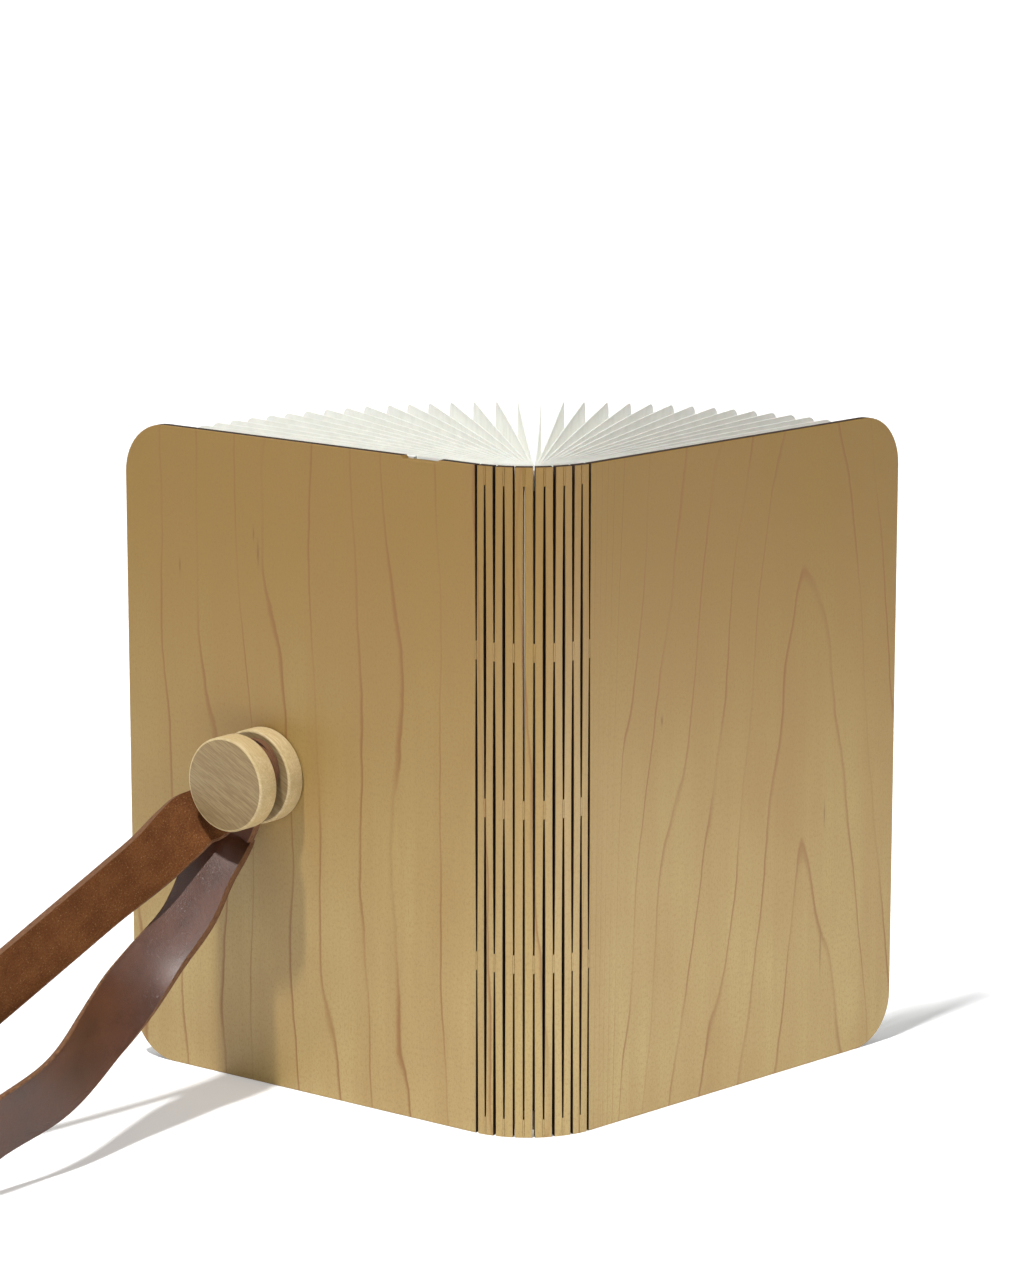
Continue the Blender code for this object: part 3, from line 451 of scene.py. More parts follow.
def make_cover(name, panel, notched):
    """Front grid, back grid, and four rings round the rim: face, eased edge, cut, eased edge."""
    column = 1 if panel == 0 else COLUMNS
    side = -1 if panel == 0 else 1
    small, up_small = plate_grid(column, EASE, notched)
    large, up_large = plate_grid(column, 0, notched)
    rows = small.shape[1]
    rim = border(*small.shape)
    start = sheet_along(column)

    def points(across, up, out):
        return panel_place(panel, start + side * across, out, up).reshape(-1, 3)

    def flats(across, up):
        return np.stack([start + side * across, up], axis=-1).reshape(-1, 2)

    front, back = points(small, up_small, HALF_WOOD), points(small, up_small, -HALF_WOOD)
    ring_out = points(large, up_large, HALF_WOOD - EASE)[rim]
    ring_in = points(large, up_large, EASE - HALF_WOOD)[rim]
    places = np.concatenate([front, back, ring_out, ring_in])
    flat = np.concatenate([flats(small, up_small)] * 2 + [flats(large, up_large)[rim]] * 2)
    i = np.arange(small.shape[0] - 1)[:, None] * rows + np.arange(rows - 1)[None, :]
    grid = np.stack([i, i + rows, i + rows + 1, i + 1], axis=-1).reshape(-1, 4)
    faces = grid.tolist() + (grid + len(front)).tolist()
    finish = [0] * len(faces)
    here = np.arange(len(rim))
    after = (here + 1) % len(rim)
    out_ring, in_ring = 2 * len(front) + here, 2 * len(front) + len(rim) + here
    layers = [rim, out_ring, in_ring, rim + len(front)]
    around = flat[out_ring]
    milled = notched & (around[:, 1] > HEIGHT / 2)
    across = side * (around[:, 0] - start)
    milled = milled & (across > NOTCH[0] - 1e-5) & (across < NOTCH[3] + 1e-5)
    milled = milled & milled[after]
    for number, (one, two) in enumerate(zip(layers[:-1], layers[1:])):
        faces += np.stack([one[here], one[after], two[after], two[here]], axis=-1).tolist()
        finish += np.where(milled, 0, 1 if number == 1 else 0).tolist()
    return make_piece(name, places, faces, [maple, char], finish, flat)


cover_left = make_cover("cover_left_wood", 0, True)
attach(cover_left, "left_cover")
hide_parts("cover_left")
cover_right = make_cover("cover_right_wood", COLUMNS, False)
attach(cover_right, "right_cover")
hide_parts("cover_right")
for piece in (cover_left, cover_right):
    print(piece.name, len(piece.data.polygons), "faces")

# %% [markdown]
# ## Strips of the spine
# A strip is a bar whose two long sides follow the slits beside it. It is a tube: at each height, a
# ring of eight points with eased corners, its sides set by the two slits' widths there. The walls
# and ends are charred and the faces are maple, on the same flat sheet as the covers, so the growth
# lines run on.

# %% Strips
STRIP_EASE = 0.16 * MM


def strip_heights(columns):
    """Even heights, and one more at every bridge's foot and head."""
    marks = [edge for column in columns for pair in bridges(column) for edge in pair]
    even = np.linspace(0, HEIGHT, 73)
    return np.unique(np.clip(np.concatenate([even, marks]), 0, HEIGHT).round(7))


def make_strip(number):
    up = strip_heights((number, number + 1))
    left = sheet_along(number) + slit_half(number, up)
    right = sheet_along(number + 1) - slit_half(number + 1, up)
    h, e = HALF_WOOD, STRIP_EASE
    along = np.stack([left + e, right - e, right, right, right - e, left + e, left, left], axis=1)
    out = np.array([h, h, h - e, e - h, -h, -h, e - h, h - e])[None, :]
    rings = panel_place(number, along, out, up[:, None])
    flat = np.stack([along, np.repeat(up[:, None], 8, axis=1)], axis=-1)
    columns = tube_columns(len(up), 8)
    finish = np.isin(columns, (2, 6, 8)).astype(int)
    name = f"strip_{number:02d}_wood"
    strip = make_piece(name, rings, tube_faces(len(up), 8), [maple, char], finish, flat)
    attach(strip, f"strip_{number:02d}")
    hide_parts(f"spine_strip_{number:02d}")
    return strip


strips = [make_strip(number) for number in range(1, COLUMNS)]
print(len(strips), "strips,", len(strips[0].data.polygons), "faces each")

# %% [markdown]
# ## Bridges
# The bridges are what bends: each is a short block of wood that twists a little as the covers close. A
# block is a tube that runs across its slit, its left end on one panel and its right end on the next,
# with a smooth change between, and its places are baked into its mesh.


def bend_across(piece):
    """Bakes the piece's placement into its own mesh."""
    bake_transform(piece)


def make_bridges(column):
    """All blocks of one column: five rings of four points each, carried from panel to panel."""
    across = SLIT_HALF_END * 0.97 * np.array([-1, -0.5, 0, 0.5, 1])[:, None]
    share = (across / across[-1] + 1) / 2
    share = share * share * (3 - 2 * share)
    out = HALF_WOOD * np.array([1, 1, -1, -1])[None, :]
    places, flat, faces, finish = [], [], [], []
    for number, (foot, head) in enumerate(bridges(column)):
        up = np.array([foot, head, head, foot])[None, :]
        along = sheet_along(column) + across
        before = panel_place(column - 1, along, out, up)
        behind = panel_place(column, along, out, up)
        places.append(before + (behind - before) * share[..., None])
        flat.append(np.stack(np.broadcast_arrays(along, up), axis=-1))
        faces += tube_faces(5, 4, number * 5 * 4)
        finish.append(np.isin(tube_columns(5, 4), (1, 3, 4)).astype(int))
    name = f"bridges_{column:02d}"
    piece = make_piece(name, np.concatenate(places), faces, [maple, char], np.concatenate(finish),
                       np.concatenate(flat))
    bend_across(piece)
    return piece


bridge_pieces = [make_bridges(column) for column in range(1, COLUMNS + 1)]
blocks = sum(len(bridges(column)) for column in range(1, COLUMNS + 1))
print(len(bridge_pieces), "columns,", blocks, "blocks")

# %% [markdown]
# ## Light strip and diffuser
# Behind the spine lies a thin dark flexible circuit with the lamps, and over it a milky strip. Both
# follow the curve of the spine, so each is made as thirteen short lengths, one across every hinge line,
# each baked in place. Seen from outside, the dark circuit is what makes most slits look black. In the
# photograph brown tones show through columns 5, 6 and 7 and a faint pale line through column 6. Here
# those are painted light in the circuit's finish behind these columns: brown tones, and a pale line that
# glows.

# %% Finishes of the light strip
def make_flex_finish():
    finish, tree, shader = new_finish("flex_circuit", 0.5)
    sheet = flat_place_of(tree)
    along, up = sheet_millimetres(tree, sheet)
    grain = drawn_out(tree, sheet, (900, 300, 1), 2.0)
    shade = mixed(tree, grain, colour(16, 14, 13), colour(34, 30, 27))

    def beside(column):
        """Where painted light goes: one behind a column of slits, and nothing a fifth of a millimetre
        further on.
        """
        away = calc(tree, "ABSOLUTE", calc(tree, "SUBTRACT", along, sheet_along(column) / MM))
        return remap(tree, away, 0.7, 0.9, 1.0, 0.0)

    # Painted light: brown tones behind columns 5, 6 and 7, and a pale line behind column 6 that glows,
    # stand in for light seen through these slits.
    painted_light_line = calc(tree, "MULTIPLY", beside(6), remap(tree, up, 96.0, 176.0))
    for where, tone in ((beside(5), (92, 70, 40)), (beside(7), (86, 70, 46)),
                        (beside(6), (120, 98, 62)), (painted_light_line, (240, 232, 208))):
        shade = mixed(tree, where, shade, colour(*tone))
    for socket in ("Base Color", "Emission Color"):
        tree.links.new(shade, shader.inputs[socket])
    tree.links.new(calc(tree, "MULTIPLY", painted_light_line, 0.3), shader.inputs["Emission Strength"])
    return finish


def make_milky():
    finish, tree, shader = new_finish("milky_plastic", 0.55, Subsurface_Weight=0.15,
                                      Subsurface_Scale=0.002)
    place = object_place(tree)
    shade = mixed(tree, noise(tree, place, 260.0, 2.0), colour(236, 238, 232), colour(247, 248, 243))
    dress(tree, shader, shade, noise(tree, place, 1800.0), 0.00002)
    return finish


flex_finish, milky = make_flex_finish(), make_milky()
print("light strip finishes:", flex_finish.name, milky.name)

# %% Light strip and diffuser
FLEX_MARGIN, FLEX_DEPTHS = 8 * MM, (1.8 * MM, 2.1 * MM)
DIFFUSER_MARGIN, DIFFUSER_DEPTHS = 1.5 * MM, (2.4 * MM, 3.9 * MM)
BAND_HALF = 0.485


def make_band(kind, column, depths, margin, finish, node):
    """A length of band across one hinge line: a tube of rings on the spine's circle, less the
    band's depth behind it, over one step of angle."""
    near, far = depths
    foot, head = margin, HEIGHT - margin
    low = 0 if column == 1 else -BAND_HALF
    high = 0 if column == COLUMNS else BAND_HALF
    share = np.linspace(low, high, 7)[:, None]
    turn = (column - MIDDLE_COLUMN + share) * BEND
    depth = np.array([near, far, far, near])[None, :]
    up = np.array([foot, foot, head, head])[None, :]
    radius = SPINE_RADIUS - depth
    x = SPINE_CENTRE[0] + radius * np.sin(turn)
    y = SPINE_CENTRE[1] - radius * np.cos(turn)
    rings = np.stack(np.broadcast_arrays(x, y, up), axis=-1)
    along = sheet_along(column) + share * PITCH
    flat = np.stack(np.broadcast_arrays(along, up), axis=-1)
    name = f"{kind}_{column:02d}"
    piece = make_piece(name, rings, tube_faces(7, 4), [finish], None, flat)
    bend_across(piece)
    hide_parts(node)
    return piece


for column in range(1, COLUMNS + 1):
    flex = make_band("light_strip", column, FLEX_DEPTHS, FLEX_MARGIN, flex_finish, "led_flex")
    diffuser = make_band("diffuser", column, DIFFUSER_DEPTHS, DIFFUSER_MARGIN, milky,
                         "spine_diffuser")
print("light strip and diffuser in", COLUMNS, "lengths each")

# %% [markdown]
# ## Finish: page sheet
# The pages are a tough white fibre sheet, faintly green-grey and matt, with a soft cloudy texture
# from its pressed fibres. Lit by the lamps alone the pages came out darker than in the photograph, so
# they have a weak glow of their own.

# %% Page sheet
def make_page_finish():
    # The emission is a painted glow: light that the lamps do not give the pages.
    finish, tree, shader = new_finish("page_sheet", 0.62, Subsurface_Weight=0.12, Subsurface_Scale=0.001,
                                      Emission_Color=(1.0, 0.99, 0.96, 1), Emission_Strength=0.2)
    place = object_place(tree)
    cloud = noise(tree, place, 140.0)
    thread = drawn_out(tree, place, (900, 900, 500), 4.0, 0.7)
    shade = mixed(tree, remap(tree, cloud, 0.3, 0.7), colour(214, 216, 208), colour(226, 227, 220))
    shade = glazed(tree, shade, (thread, 0.55, 0.75, 0.3, (200, 203, 193)))
    dress(tree, shader, shade, thread, 0.00002)
    return finish


page_finish = make_page_finish()
print("page finish ready")

# %% [markdown]
# ## The fan of pages
# The pages are one long sheet folded to and fro. Every second fold lies at the fore-edge and the
# folds between them at the spine, so each pleat is a narrow pocket of two leaves. All pleats point
# away from one line behind the spine, at equal steps of angle, and their outer corners are round.
# A pleat is a tube from foot to head whose ring runs out along one leaf and back along the other;
# where the corner is round, the ring ends earlier.

# %% Pleats
PLEATS = 32
FAN_LINE = SPINE_CENTRE - np.array([0, (SPINE_RADIUS - 4.2 * MM) / math.sin(OPENING / 2)])
PAGE_REACH = 142.5 * MM
PAGE_FOOT, PAGE_HEAD = 1.0 * MM, HEIGHT - 0.5 * MM
PAGE_CORNER = 4 * MM
FOLD_NEAR, FOLD_FAR = 10 * MM, 20 * MM
LEAF_THICKNESS, TIP_HALF = 0.15 * MM, 0.17 * MM
LEAF_STEPS = 14
rng = np.random.default_rng(11)


def page_heights():
    """Heights with equal steps of angle in the two round corners and a few between."""
    turned = np.linspace(0, math.pi / 2, 9)
    corner = PAGE_CORNER * (1 - np.cos(turned))
    middle = np.linspace(PAGE_FOOT + PAGE_CORNER, PAGE_HEAD - PAGE_CORNER, 13)[1:-1]
    return np.concatenate([PAGE_FOOT + corner, middle, PAGE_HEAD - corner[::-1]])


def leaf_reach(up):
    """How far a leaf goes at a height: its full reach, less what the round corner takes off."""
    below = np.clip(PAGE_FOOT + PAGE_CORNER - up, 0, PAGE_CORNER)
    above = np.clip(up - (PAGE_HEAD - PAGE_CORNER), 0, PAGE_CORNER)
    rise = np.maximum(below, above)
    return PAGE_REACH - (PAGE_CORNER - np.sqrt(PAGE_CORNER**2 - rise**2))


def make_pleat(number):
    """Ring at one height: sideways of the pleat's own line by half the fold's width, which shrinks
    towards the fore-edge, out along one leaf, round the fold and back; the inner wall the same way
    less the sheet's thickness. A slow sine bows each pleat a little, each by its own amount."""
    share = (number - 0.5) / PLEATS
    lean = (share - 0.5) * OPENING
    along = np.array([math.sin(lean), math.cos(lean)])
    beside = np.array([math.cos(lean), -math.sin(lean)])
    first = FOLD_NEAR + (FOLD_FAR - FOLD_NEAR) * (2 * share - 1) ** 2
    up = page_heights()[:, None]
    reach = leaf_reach(up)
    walk = np.linspace(0, 1, LEAF_STEPS)[None, :] ** 0.8
    radial = first + (reach - first) * walk
    root = first * OPENING / (2 * PLEATS) - 0.05 * MM
    whole = (radial - first) / (PAGE_REACH - first)
    outer = root + (TIP_HALF - root) * whole
    inner = np.maximum(outer - LEAF_THICKNESS, 0.012 * MM)
    bow, sway = rng.normal(0, 0.35, 2) * MM
    drift = bow * np.sin(math.pi * whole) + sway * whole * np.sin(2.2 * up / HEIGHT * math.pi + number)
    outer_tip = np.stack([reach[:, 0] + 0.12 * MM, drift[:, -1]], axis=1)[:, None, :]
    inner_tip = np.stack([reach[:, 0] - 0.1 * MM, drift[:, -1]], axis=1)[:, None, :]
    out_leaf = np.stack([radial, drift + outer], axis=-1)
    back_leaf = np.stack([radial, drift - outer], axis=-1)[:, ::-1]
    in_out = np.stack([radial, drift + inner], axis=-1)[:, :-1][:, ::-1]
    in_back = np.stack([radial, drift - inner], axis=-1)[:, :-1]
    ring = np.concatenate([out_leaf, outer_tip, back_leaf, in_back, inner_tip, in_out], axis=1)
    flat_place = FAN_LINE + ring[..., :1] * along + ring[..., 1:] * beside
    places = np.concatenate([flat_place, np.repeat(up, ring.shape[1], axis=1)[..., None]], axis=-1)
    faces = tube_faces(len(up), ring.shape[1])[:-2]
    faces += end_faces(len(up), ring.shape[1])
    piece = make_piece(f"pleat_{number:02d}", places, faces, [page_finish], crisp=50)
    return piece, share, lean


def end_faces(rings, around):
    """The tube's two ends as strips of quads between the outer and the inner wall of the ring."""
    half = around // 2
    outer = np.arange(half)
    inner = around - 1 - outer
    quads = np.stack([outer[:-1], outer[1:], inner[1:], inner[:-1]], axis=-1)
    last = (rings - 1) * around
    return quads[:, ::-1].tolist() + (quads + last).tolist()


def follow_spine(piece):
    """Bakes the pleat's placement into its own mesh. A pleat stands in one narrow wedge."""
    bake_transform(piece)


sections = [f"page_section_{number:02d}" for number in range(1, 17)]
for number in range(1, PLEATS + 1):
    pleat, share, lean = make_pleat(number)
    follow_spine(pleat)
    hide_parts(sections[(number - 1) // 2])
print(PLEATS, "pleats,", len(pleat.data.polygons), "faces each")

# %% [markdown]
# ## The peg's wood and its two discs
# The peg is turned from solid maple and left unfinished. Its grain runs slantwise across the round faces
# and shows on the rims as fine streaks, so the finish is a three-dimensional texture in the peg's own
# directions. The rims look paler than the faces in the photograph; both are one wood, so the rims carry
# a paler copy of it as painted light and the faces a darker copy as painted shade.

# %% Peg wood
COVER_TURN = -MIDDLE_COLUMN * BEND + BEND / 2
LEFT_ALONG = -np.array([math.cos(COVER_TURN), math.sin(COVER_TURN)])
LEFT_OUT = np.array([math.sin(COVER_TURN), -math.cos(COVER_TURN)])
PEG_ALONG, PEG_UP = 86 * MM, 105.5 * MM
PEG_FOOT = hinge_line(1) + PEG_ALONG * LEFT_ALONG
PEG_RADIUS = 15.5 * MM


def make_peg_wood(name, dark, light, line):
    finish, tree, shader = new_finish(name, 0.5)
    shifted = add(tree, "VectorMath", {0: object_place(tree), 1: (*PEG_FOOT, PEG_UP)},
                  operation="SUBTRACT").outputs[0]
    square = stretched(tree, shifted, (1, 1, 1), (0, 0, -COVER_TURN))
    slanted = stretched(tree, square, (1, 1, 1), (0, math.radians(-27), 0))
    fibre = drawn_out(tree, slanted, (150, 2100, 2100), 3.0, 0.65)
    band = drawn_out(tree, slanted, (20, 260, 420), 2.0)
    ray = drawn_out(tree, slanted, (650, 4200, 4200), 2.0)
    shade = mixed(tree, remap(tree, band, 0.35, 0.65), colour(*dark), colour(*light))
    shade = glazed(tree, shade, (fibre, 0.38, 0.62, 0.6, line), (ray, 0.58, 0.75, 0.3, line))
    dress(tree, shader, shade, fibre, 0.00003)
    return finish


# Painted light and shade: one wood in two copies, paler on the rims and darker on the faces, for how the
# light falls on them.
peg_rim_painted_light = make_peg_wood("peg_rim_painted_light", (196, 175, 130), (206, 186, 144), (176, 150, 104))
peg_face_painted_shade = make_peg_wood("peg_face_painted_shade", (146, 124, 86), (158, 137, 98), (122, 98, 64))
print("peg foot at", np.round(PEG_FOOT, 4))

# %% [markdown]
# A disc is a turned form: a profile of radius and depth, spun about the peg's axis. The points in
# the middle of both faces meet in one pole each, which closes the surface.

# %% Turned discs
def turned(name, profile, steps=128):
    """Profile point (radius, out) at angle a goes to the axis plus radius times (cos a, sin a) in
    the cover's plane; the first and last profile points lie on the axis and are single poles."""
    profile = np.array(profile)
    angle = np.arange(steps) / steps * 2 * math.pi
    radius, out = profile[1:-1, :1], profile[1:-1, 1:]
    sideways = radius * np.cos(angle)
    height = PEG_UP + radius * np.sin(angle)
    outwards = np.repeat(out, steps, axis=1)[..., None] * LEFT_OUT
    flat_place = PEG_FOOT + sideways[..., None] * LEFT_ALONG + outwards
    rings = np.concatenate([flat_place, height[..., None]], axis=-1).reshape(-1, 3)
    poles = [np.append(PEG_FOOT + depth * LEFT_OUT, PEG_UP) for depth in profile[[0, -1], 1]]
    count = len(profile) - 2
    faces = tube_faces(count, steps)[:-2]
    here = np.arange(steps)
    after = (here + 1) % steps
    first, last, base = len(rings), len(rings) + 1, (count - 1) * steps
    faces += [[first, b, a] for a, b in zip(here, after)]
    faces += [[last, base + a, base + b] for a, b in zip(here, after)]
    # Flat faces take the darker painted-shade copy of the wood, the rims the paler painted-light copy.
    level = np.isclose(out[1:, 0], out[:-1, 0])
    finish = np.concatenate([np.repeat(level, steps), np.ones(2 * steps, bool)])
    return make_piece(name, np.concatenate([rings, poles]), faces, [peg_rim_painted_light, peg_face_painted_shade], finish, crisp=40)


def rounded(corner_out, from_face, outward):
    """A rounded corner of a disc's profile: a quarter circle between its face and its rim."""
    angle = np.linspace(0, math.pi / 2, 5)
    one, other = (np.sin(angle), np.cos(angle)) if from_face else (np.cos(angle), np.sin(angle))
    radius = PEG_RADIUS - DISC_EASE + DISC_EASE * one
    out = corner_out - outward * DISC_EASE + outward * DISC_EASE * other
    return np.stack([radius, out], axis=1).tolist()


REAR = (1.8 * MM, 8.8 * MM)
FRONT = (14.8 * MM, 22.8 * MM)
DISC_EASE = 0.7 * MM
BORE, RECESS = 2.3 * MM, 9.3 * MM
FRONT_BORE_END, REAR_BORE_END, RECESS_END = 20.3 * MM, 5.6 * MM, 4.9 * MM
front_profile = ([[0, FRONT[1]], [5 * MM, FRONT[1]]]
                 + rounded(FRONT[1], True, 1) + rounded(FRONT[0], False, -1)
                 + [[BORE, FRONT[0]], [BORE, FRONT_BORE_END], [0, FRONT_BORE_END]])
rear_profile = ([[0, REAR_BORE_END], [BORE, REAR_BORE_END], [BORE, REAR[1]]]
                + rounded(REAR[1], True, 1) + rounded(REAR[0], False, -1)
                + [[RECESS, REAR[0]], [RECESS, RECESS_END], [0, RECESS_END]])
for name, profile in (("peg_front_disc", front_profile), ("peg_rear_disc", rear_profile)):
    disc = turned(name + "_wood", profile)
    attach(disc, "peg")
    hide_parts(name)
    print(disc.name, len(disc.data.polygons), "faces")

# %% [markdown]
# ## Leather finishes
# The strap is vegetable-tanned leather with two faces: rough brown suede with pale specks on its
# flesh side, and on its grain side a smooth, darker, waxed surface with a soft gloss and fine pores.
# Its cut edge is brown, in fine raw layers. All three read the strap's own flat coordinates, in
# metres along and across, so the pattern follows the loop.

# %% Leather
def make_suede():
    finish, tree, shader = new_finish("leather_suede", 0.95, Specular_IOR_Level=0.15)
    flat = flat_place_of(tree)
    nap = drawn_out(tree, flat, (1500, 1500, 1), 4.0, 0.75)
    patch = drawn_out(tree, flat, (110, 140, 1))
    speck = noise(tree, stretched(tree, flat, (1900, 2100, 1), shift=(3, 5, 0)), 1.0, 1.0)
    shade = mixed(tree, remap(tree, patch, 0.3, 0.7), colour(100, 60, 30), colour(120, 75, 40))
    shade = glazed(tree, shade, (nap, 0.35, 0.7, 0.7, (74, 43, 22)),
                   (speck, 0.62, 0.74, 0.55, (168, 124, 84)))
    dress(tree, shader, shade, nap, 0.00022)
    return finish


def make_grain():
    finish, tree, shader = new_finish("leather_grain", 0.40, Coat_Weight=0.35, Coat_Roughness=0.34)
    flat = flat_place_of(tree)
    pore = add(tree, "TexVoronoi", {"Vector": stretched(tree, flat, (1700, 1900, 1)), "Scale": 1.0},
               feature="DISTANCE_TO_EDGE").outputs["Distance"]
    cloud = drawn_out(tree, flat, (45, 90, 1))
    fine = drawn_out(tree, flat, (900, 900, 1))
    shade = mixed(tree, remap(tree, cloud, 0.3, 0.7), colour(68, 34, 16), colour(86, 46, 24))
    shade = glazed(tree, shade, (fine, 0.4, 0.7, 0.3, (52, 28, 20)))
    tree.links.new(remap(tree, cloud, 0.3, 0.7, 0.36, 0.48), shader.inputs["Roughness"])
    dress(tree, shader, shade, remap(tree, pore, 0.0, 0.12), 0.00004)
    return finish


def make_cut_leather():
    finish, tree, shader = new_finish("leather_cut", 0.85)
    layer = drawn_out(tree, flat_place_of(tree), (500, 3500, 1))
    shade = mixed(tree, remap(tree, layer, 0.3, 0.7), colour(84, 52, 30), colour(128, 88, 56))
    dress(tree, shader, shade, layer, 0.0001)
    return finish


suede, grain, cut_leather = make_suede(), make_grain(), make_cut_leather()
print("leather finishes:", suede.name, grain.name, cut_leather.name)

# %% [markdown]
# ## The strap
# One band of leather leaves the axle as the rear layer, hangs down, stands on its edge where the
# loop lies on the table, turns over at the far end and comes back up as the front layer. Its middle
# line is a smooth curve through places fitted to the photograph, each with the band's tilt there. The
# far part, outside the picture, is guessed. A rounded section is carried along the line.

# %% The strap's route
STRAP_WIDTH, STRAP_THICKNESS = 20 * MM, 2.5 * MM
STRAP_OUT, STRAP_SWAY, STRAP_TAB, STRAP_BEND = 200 * MM, 20 * MM, 14 * MM, 5 * MM
STRAP_GAP = 0.3 * MM
LOWER_LEAN, UPPER_LEAN = math.radians(26.4), math.radians(47.9)
LOWER_SHARES = (
    (0.409, 0.075, 0.241, -0.10), (0.389, 0.110, 0.316, -0.217), (0.293, 0.170, 0.436, -0.233),
    (0.266, 0.260, 0.556, -0.064), (-0.004, 0.400, 0.696, 0.499), (-0.354, 0.560, 0.827, 0.869),
    (-0.366, 0.690, 0.889, 1.06), (-0.275, 0.800, 0.965, 1.02), (-0.05, 0.890, 0.998, 1.00),
    (0.40, 0.965, 1.000, 1.00), (1.00, 0.990, 0.985, 1.00))
UPPER_SHARES = (
    (1.50, 0.950, 0.935, 1.00), (1.72, 0.860, 0.867, 1.00), (1.69, 0.750, 0.787, 0.99),
    (1.507, 0.650, 0.713, 0.969), (1.281, 0.525, 0.578, 0.928), (1.068, 0.400, 0.443, 0.901),
    (0.911, 0.290, 0.330, 0.861), (0.819, 0.200, 0.247, 0.638), (0.801, 0.135, 0.183, 0.263))


def strap_rows():
    """The places of the middle line, one row each: along the cover, out of it, up from the peg, and
    the tilt. Beside the peg they lie on a straight line from the axle at the leg's own lean."""
    rear = REAR[1] + STRAP_GAP + STRAP_THICKNESS / 2
    front = FRONT[0] - STRAP_GAP - STRAP_THICKNESS / 2
    drop = PEG_UP - STRAP_WIDTH / 2 - STRAP_GAP

    def beside(lean, layer, away, out):
        return (math.sin(lean) * away, layer + out, -math.cos(lean) * away, lean)

    def loop(lean, shares):
        sway, reach, fall, turn = shares
        return (STRAP_SWAY * sway, STRAP_OUT * reach, -drop * fall, lean + (math.pi / 2 - lean) * turn)

    rim, bend = PEG_RADIUS, STRAP_BEND
    lower = [beside(LOWER_LEAN, rear, away, 0) for away in (-STRAP_TAB, 0, rim / 2, rim - bend / 3)]
    lower += [beside(LOWER_LEAN, rear, rim + bend / 3, 0),
              beside(LOWER_LEAN, rear, rim + bend, bend / 9)]
    lower += [loop(LOWER_LEAN, shares) for shares in LOWER_SHARES]
    upper = [beside(UPPER_LEAN, front, away, 0) for away in (-STRAP_TAB, 0, rim / 2, rim - bend / 3)]
    upper += [beside(UPPER_LEAN, front, rim + bend / 2, bend / 20),
              beside(UPPER_LEAN, front, rim + bend, bend / 2),
              beside(UPPER_LEAN, front, rim + bend * 1.1, bend * 1.25)]
    return np.array(lower + [loop(UPPER_LEAN, shares) for shares in UPPER_SHARES] + upper[::-1])


def walked_lengths(rows):
    """The way walked up to each row, along straight lines between the rows' places."""
    return np.concatenate([[0], np.cumsum(np.linalg.norm(np.diff(rows[:, :3], axis=0), axis=1))])


def smooth_rows(rows, steps):
    """A cubic through the rows: each stretch starts and ends with the slope of its neighbours."""
    knots = walked_lengths(rows)
    slopes = np.gradient(rows, knots, axis=0)
    t = (np.arange(steps) / steps)[None, :, None]
    h = np.diff(knots)[:, None, None]
    first, last = rows[:-1, None, :], rows[1:, None, :]
    leaving, coming = slopes[:-1, None, :] * h, slopes[1:, None, :] * h
    curve = ((2 * t**3 - 3 * t**2 + 1) * first + (t**3 - 2 * t**2 + t) * leaving
             + (3 * t**2 - 2 * t**3) * last + (t**3 - t**2) * coming)
    return np.concatenate([curve.reshape(-1, rows.shape[1]), rows[-1:]])


strap_line = smooth_rows(strap_rows(), 32)
print("strap line of", len(strap_line), "points")

# %% The strap's section, carried along its route
def strap_section():
    """One half of the section's border as (across share, thickness share), the grain face first:
    a wide flat face and a round cut edge. The other half is the same, turned half round."""
    rounding = 0.55
    edge = rounding * STRAP_THICKNESS / STRAP_WIDTH
    flat = np.linspace(-1, 1, 9)
    angle = np.linspace(0, math.pi / 2, 6)[1:]
    across = np.concatenate([flat * (1 - edge), 1 - edge * (1 - np.sin(angle))])
    depth = np.concatenate([np.ones(len(flat)), 1 - rounding * (1 - np.cos(angle))])
    return np.concatenate([across, -across]), np.concatenate([depth, -depth]), len(flat)


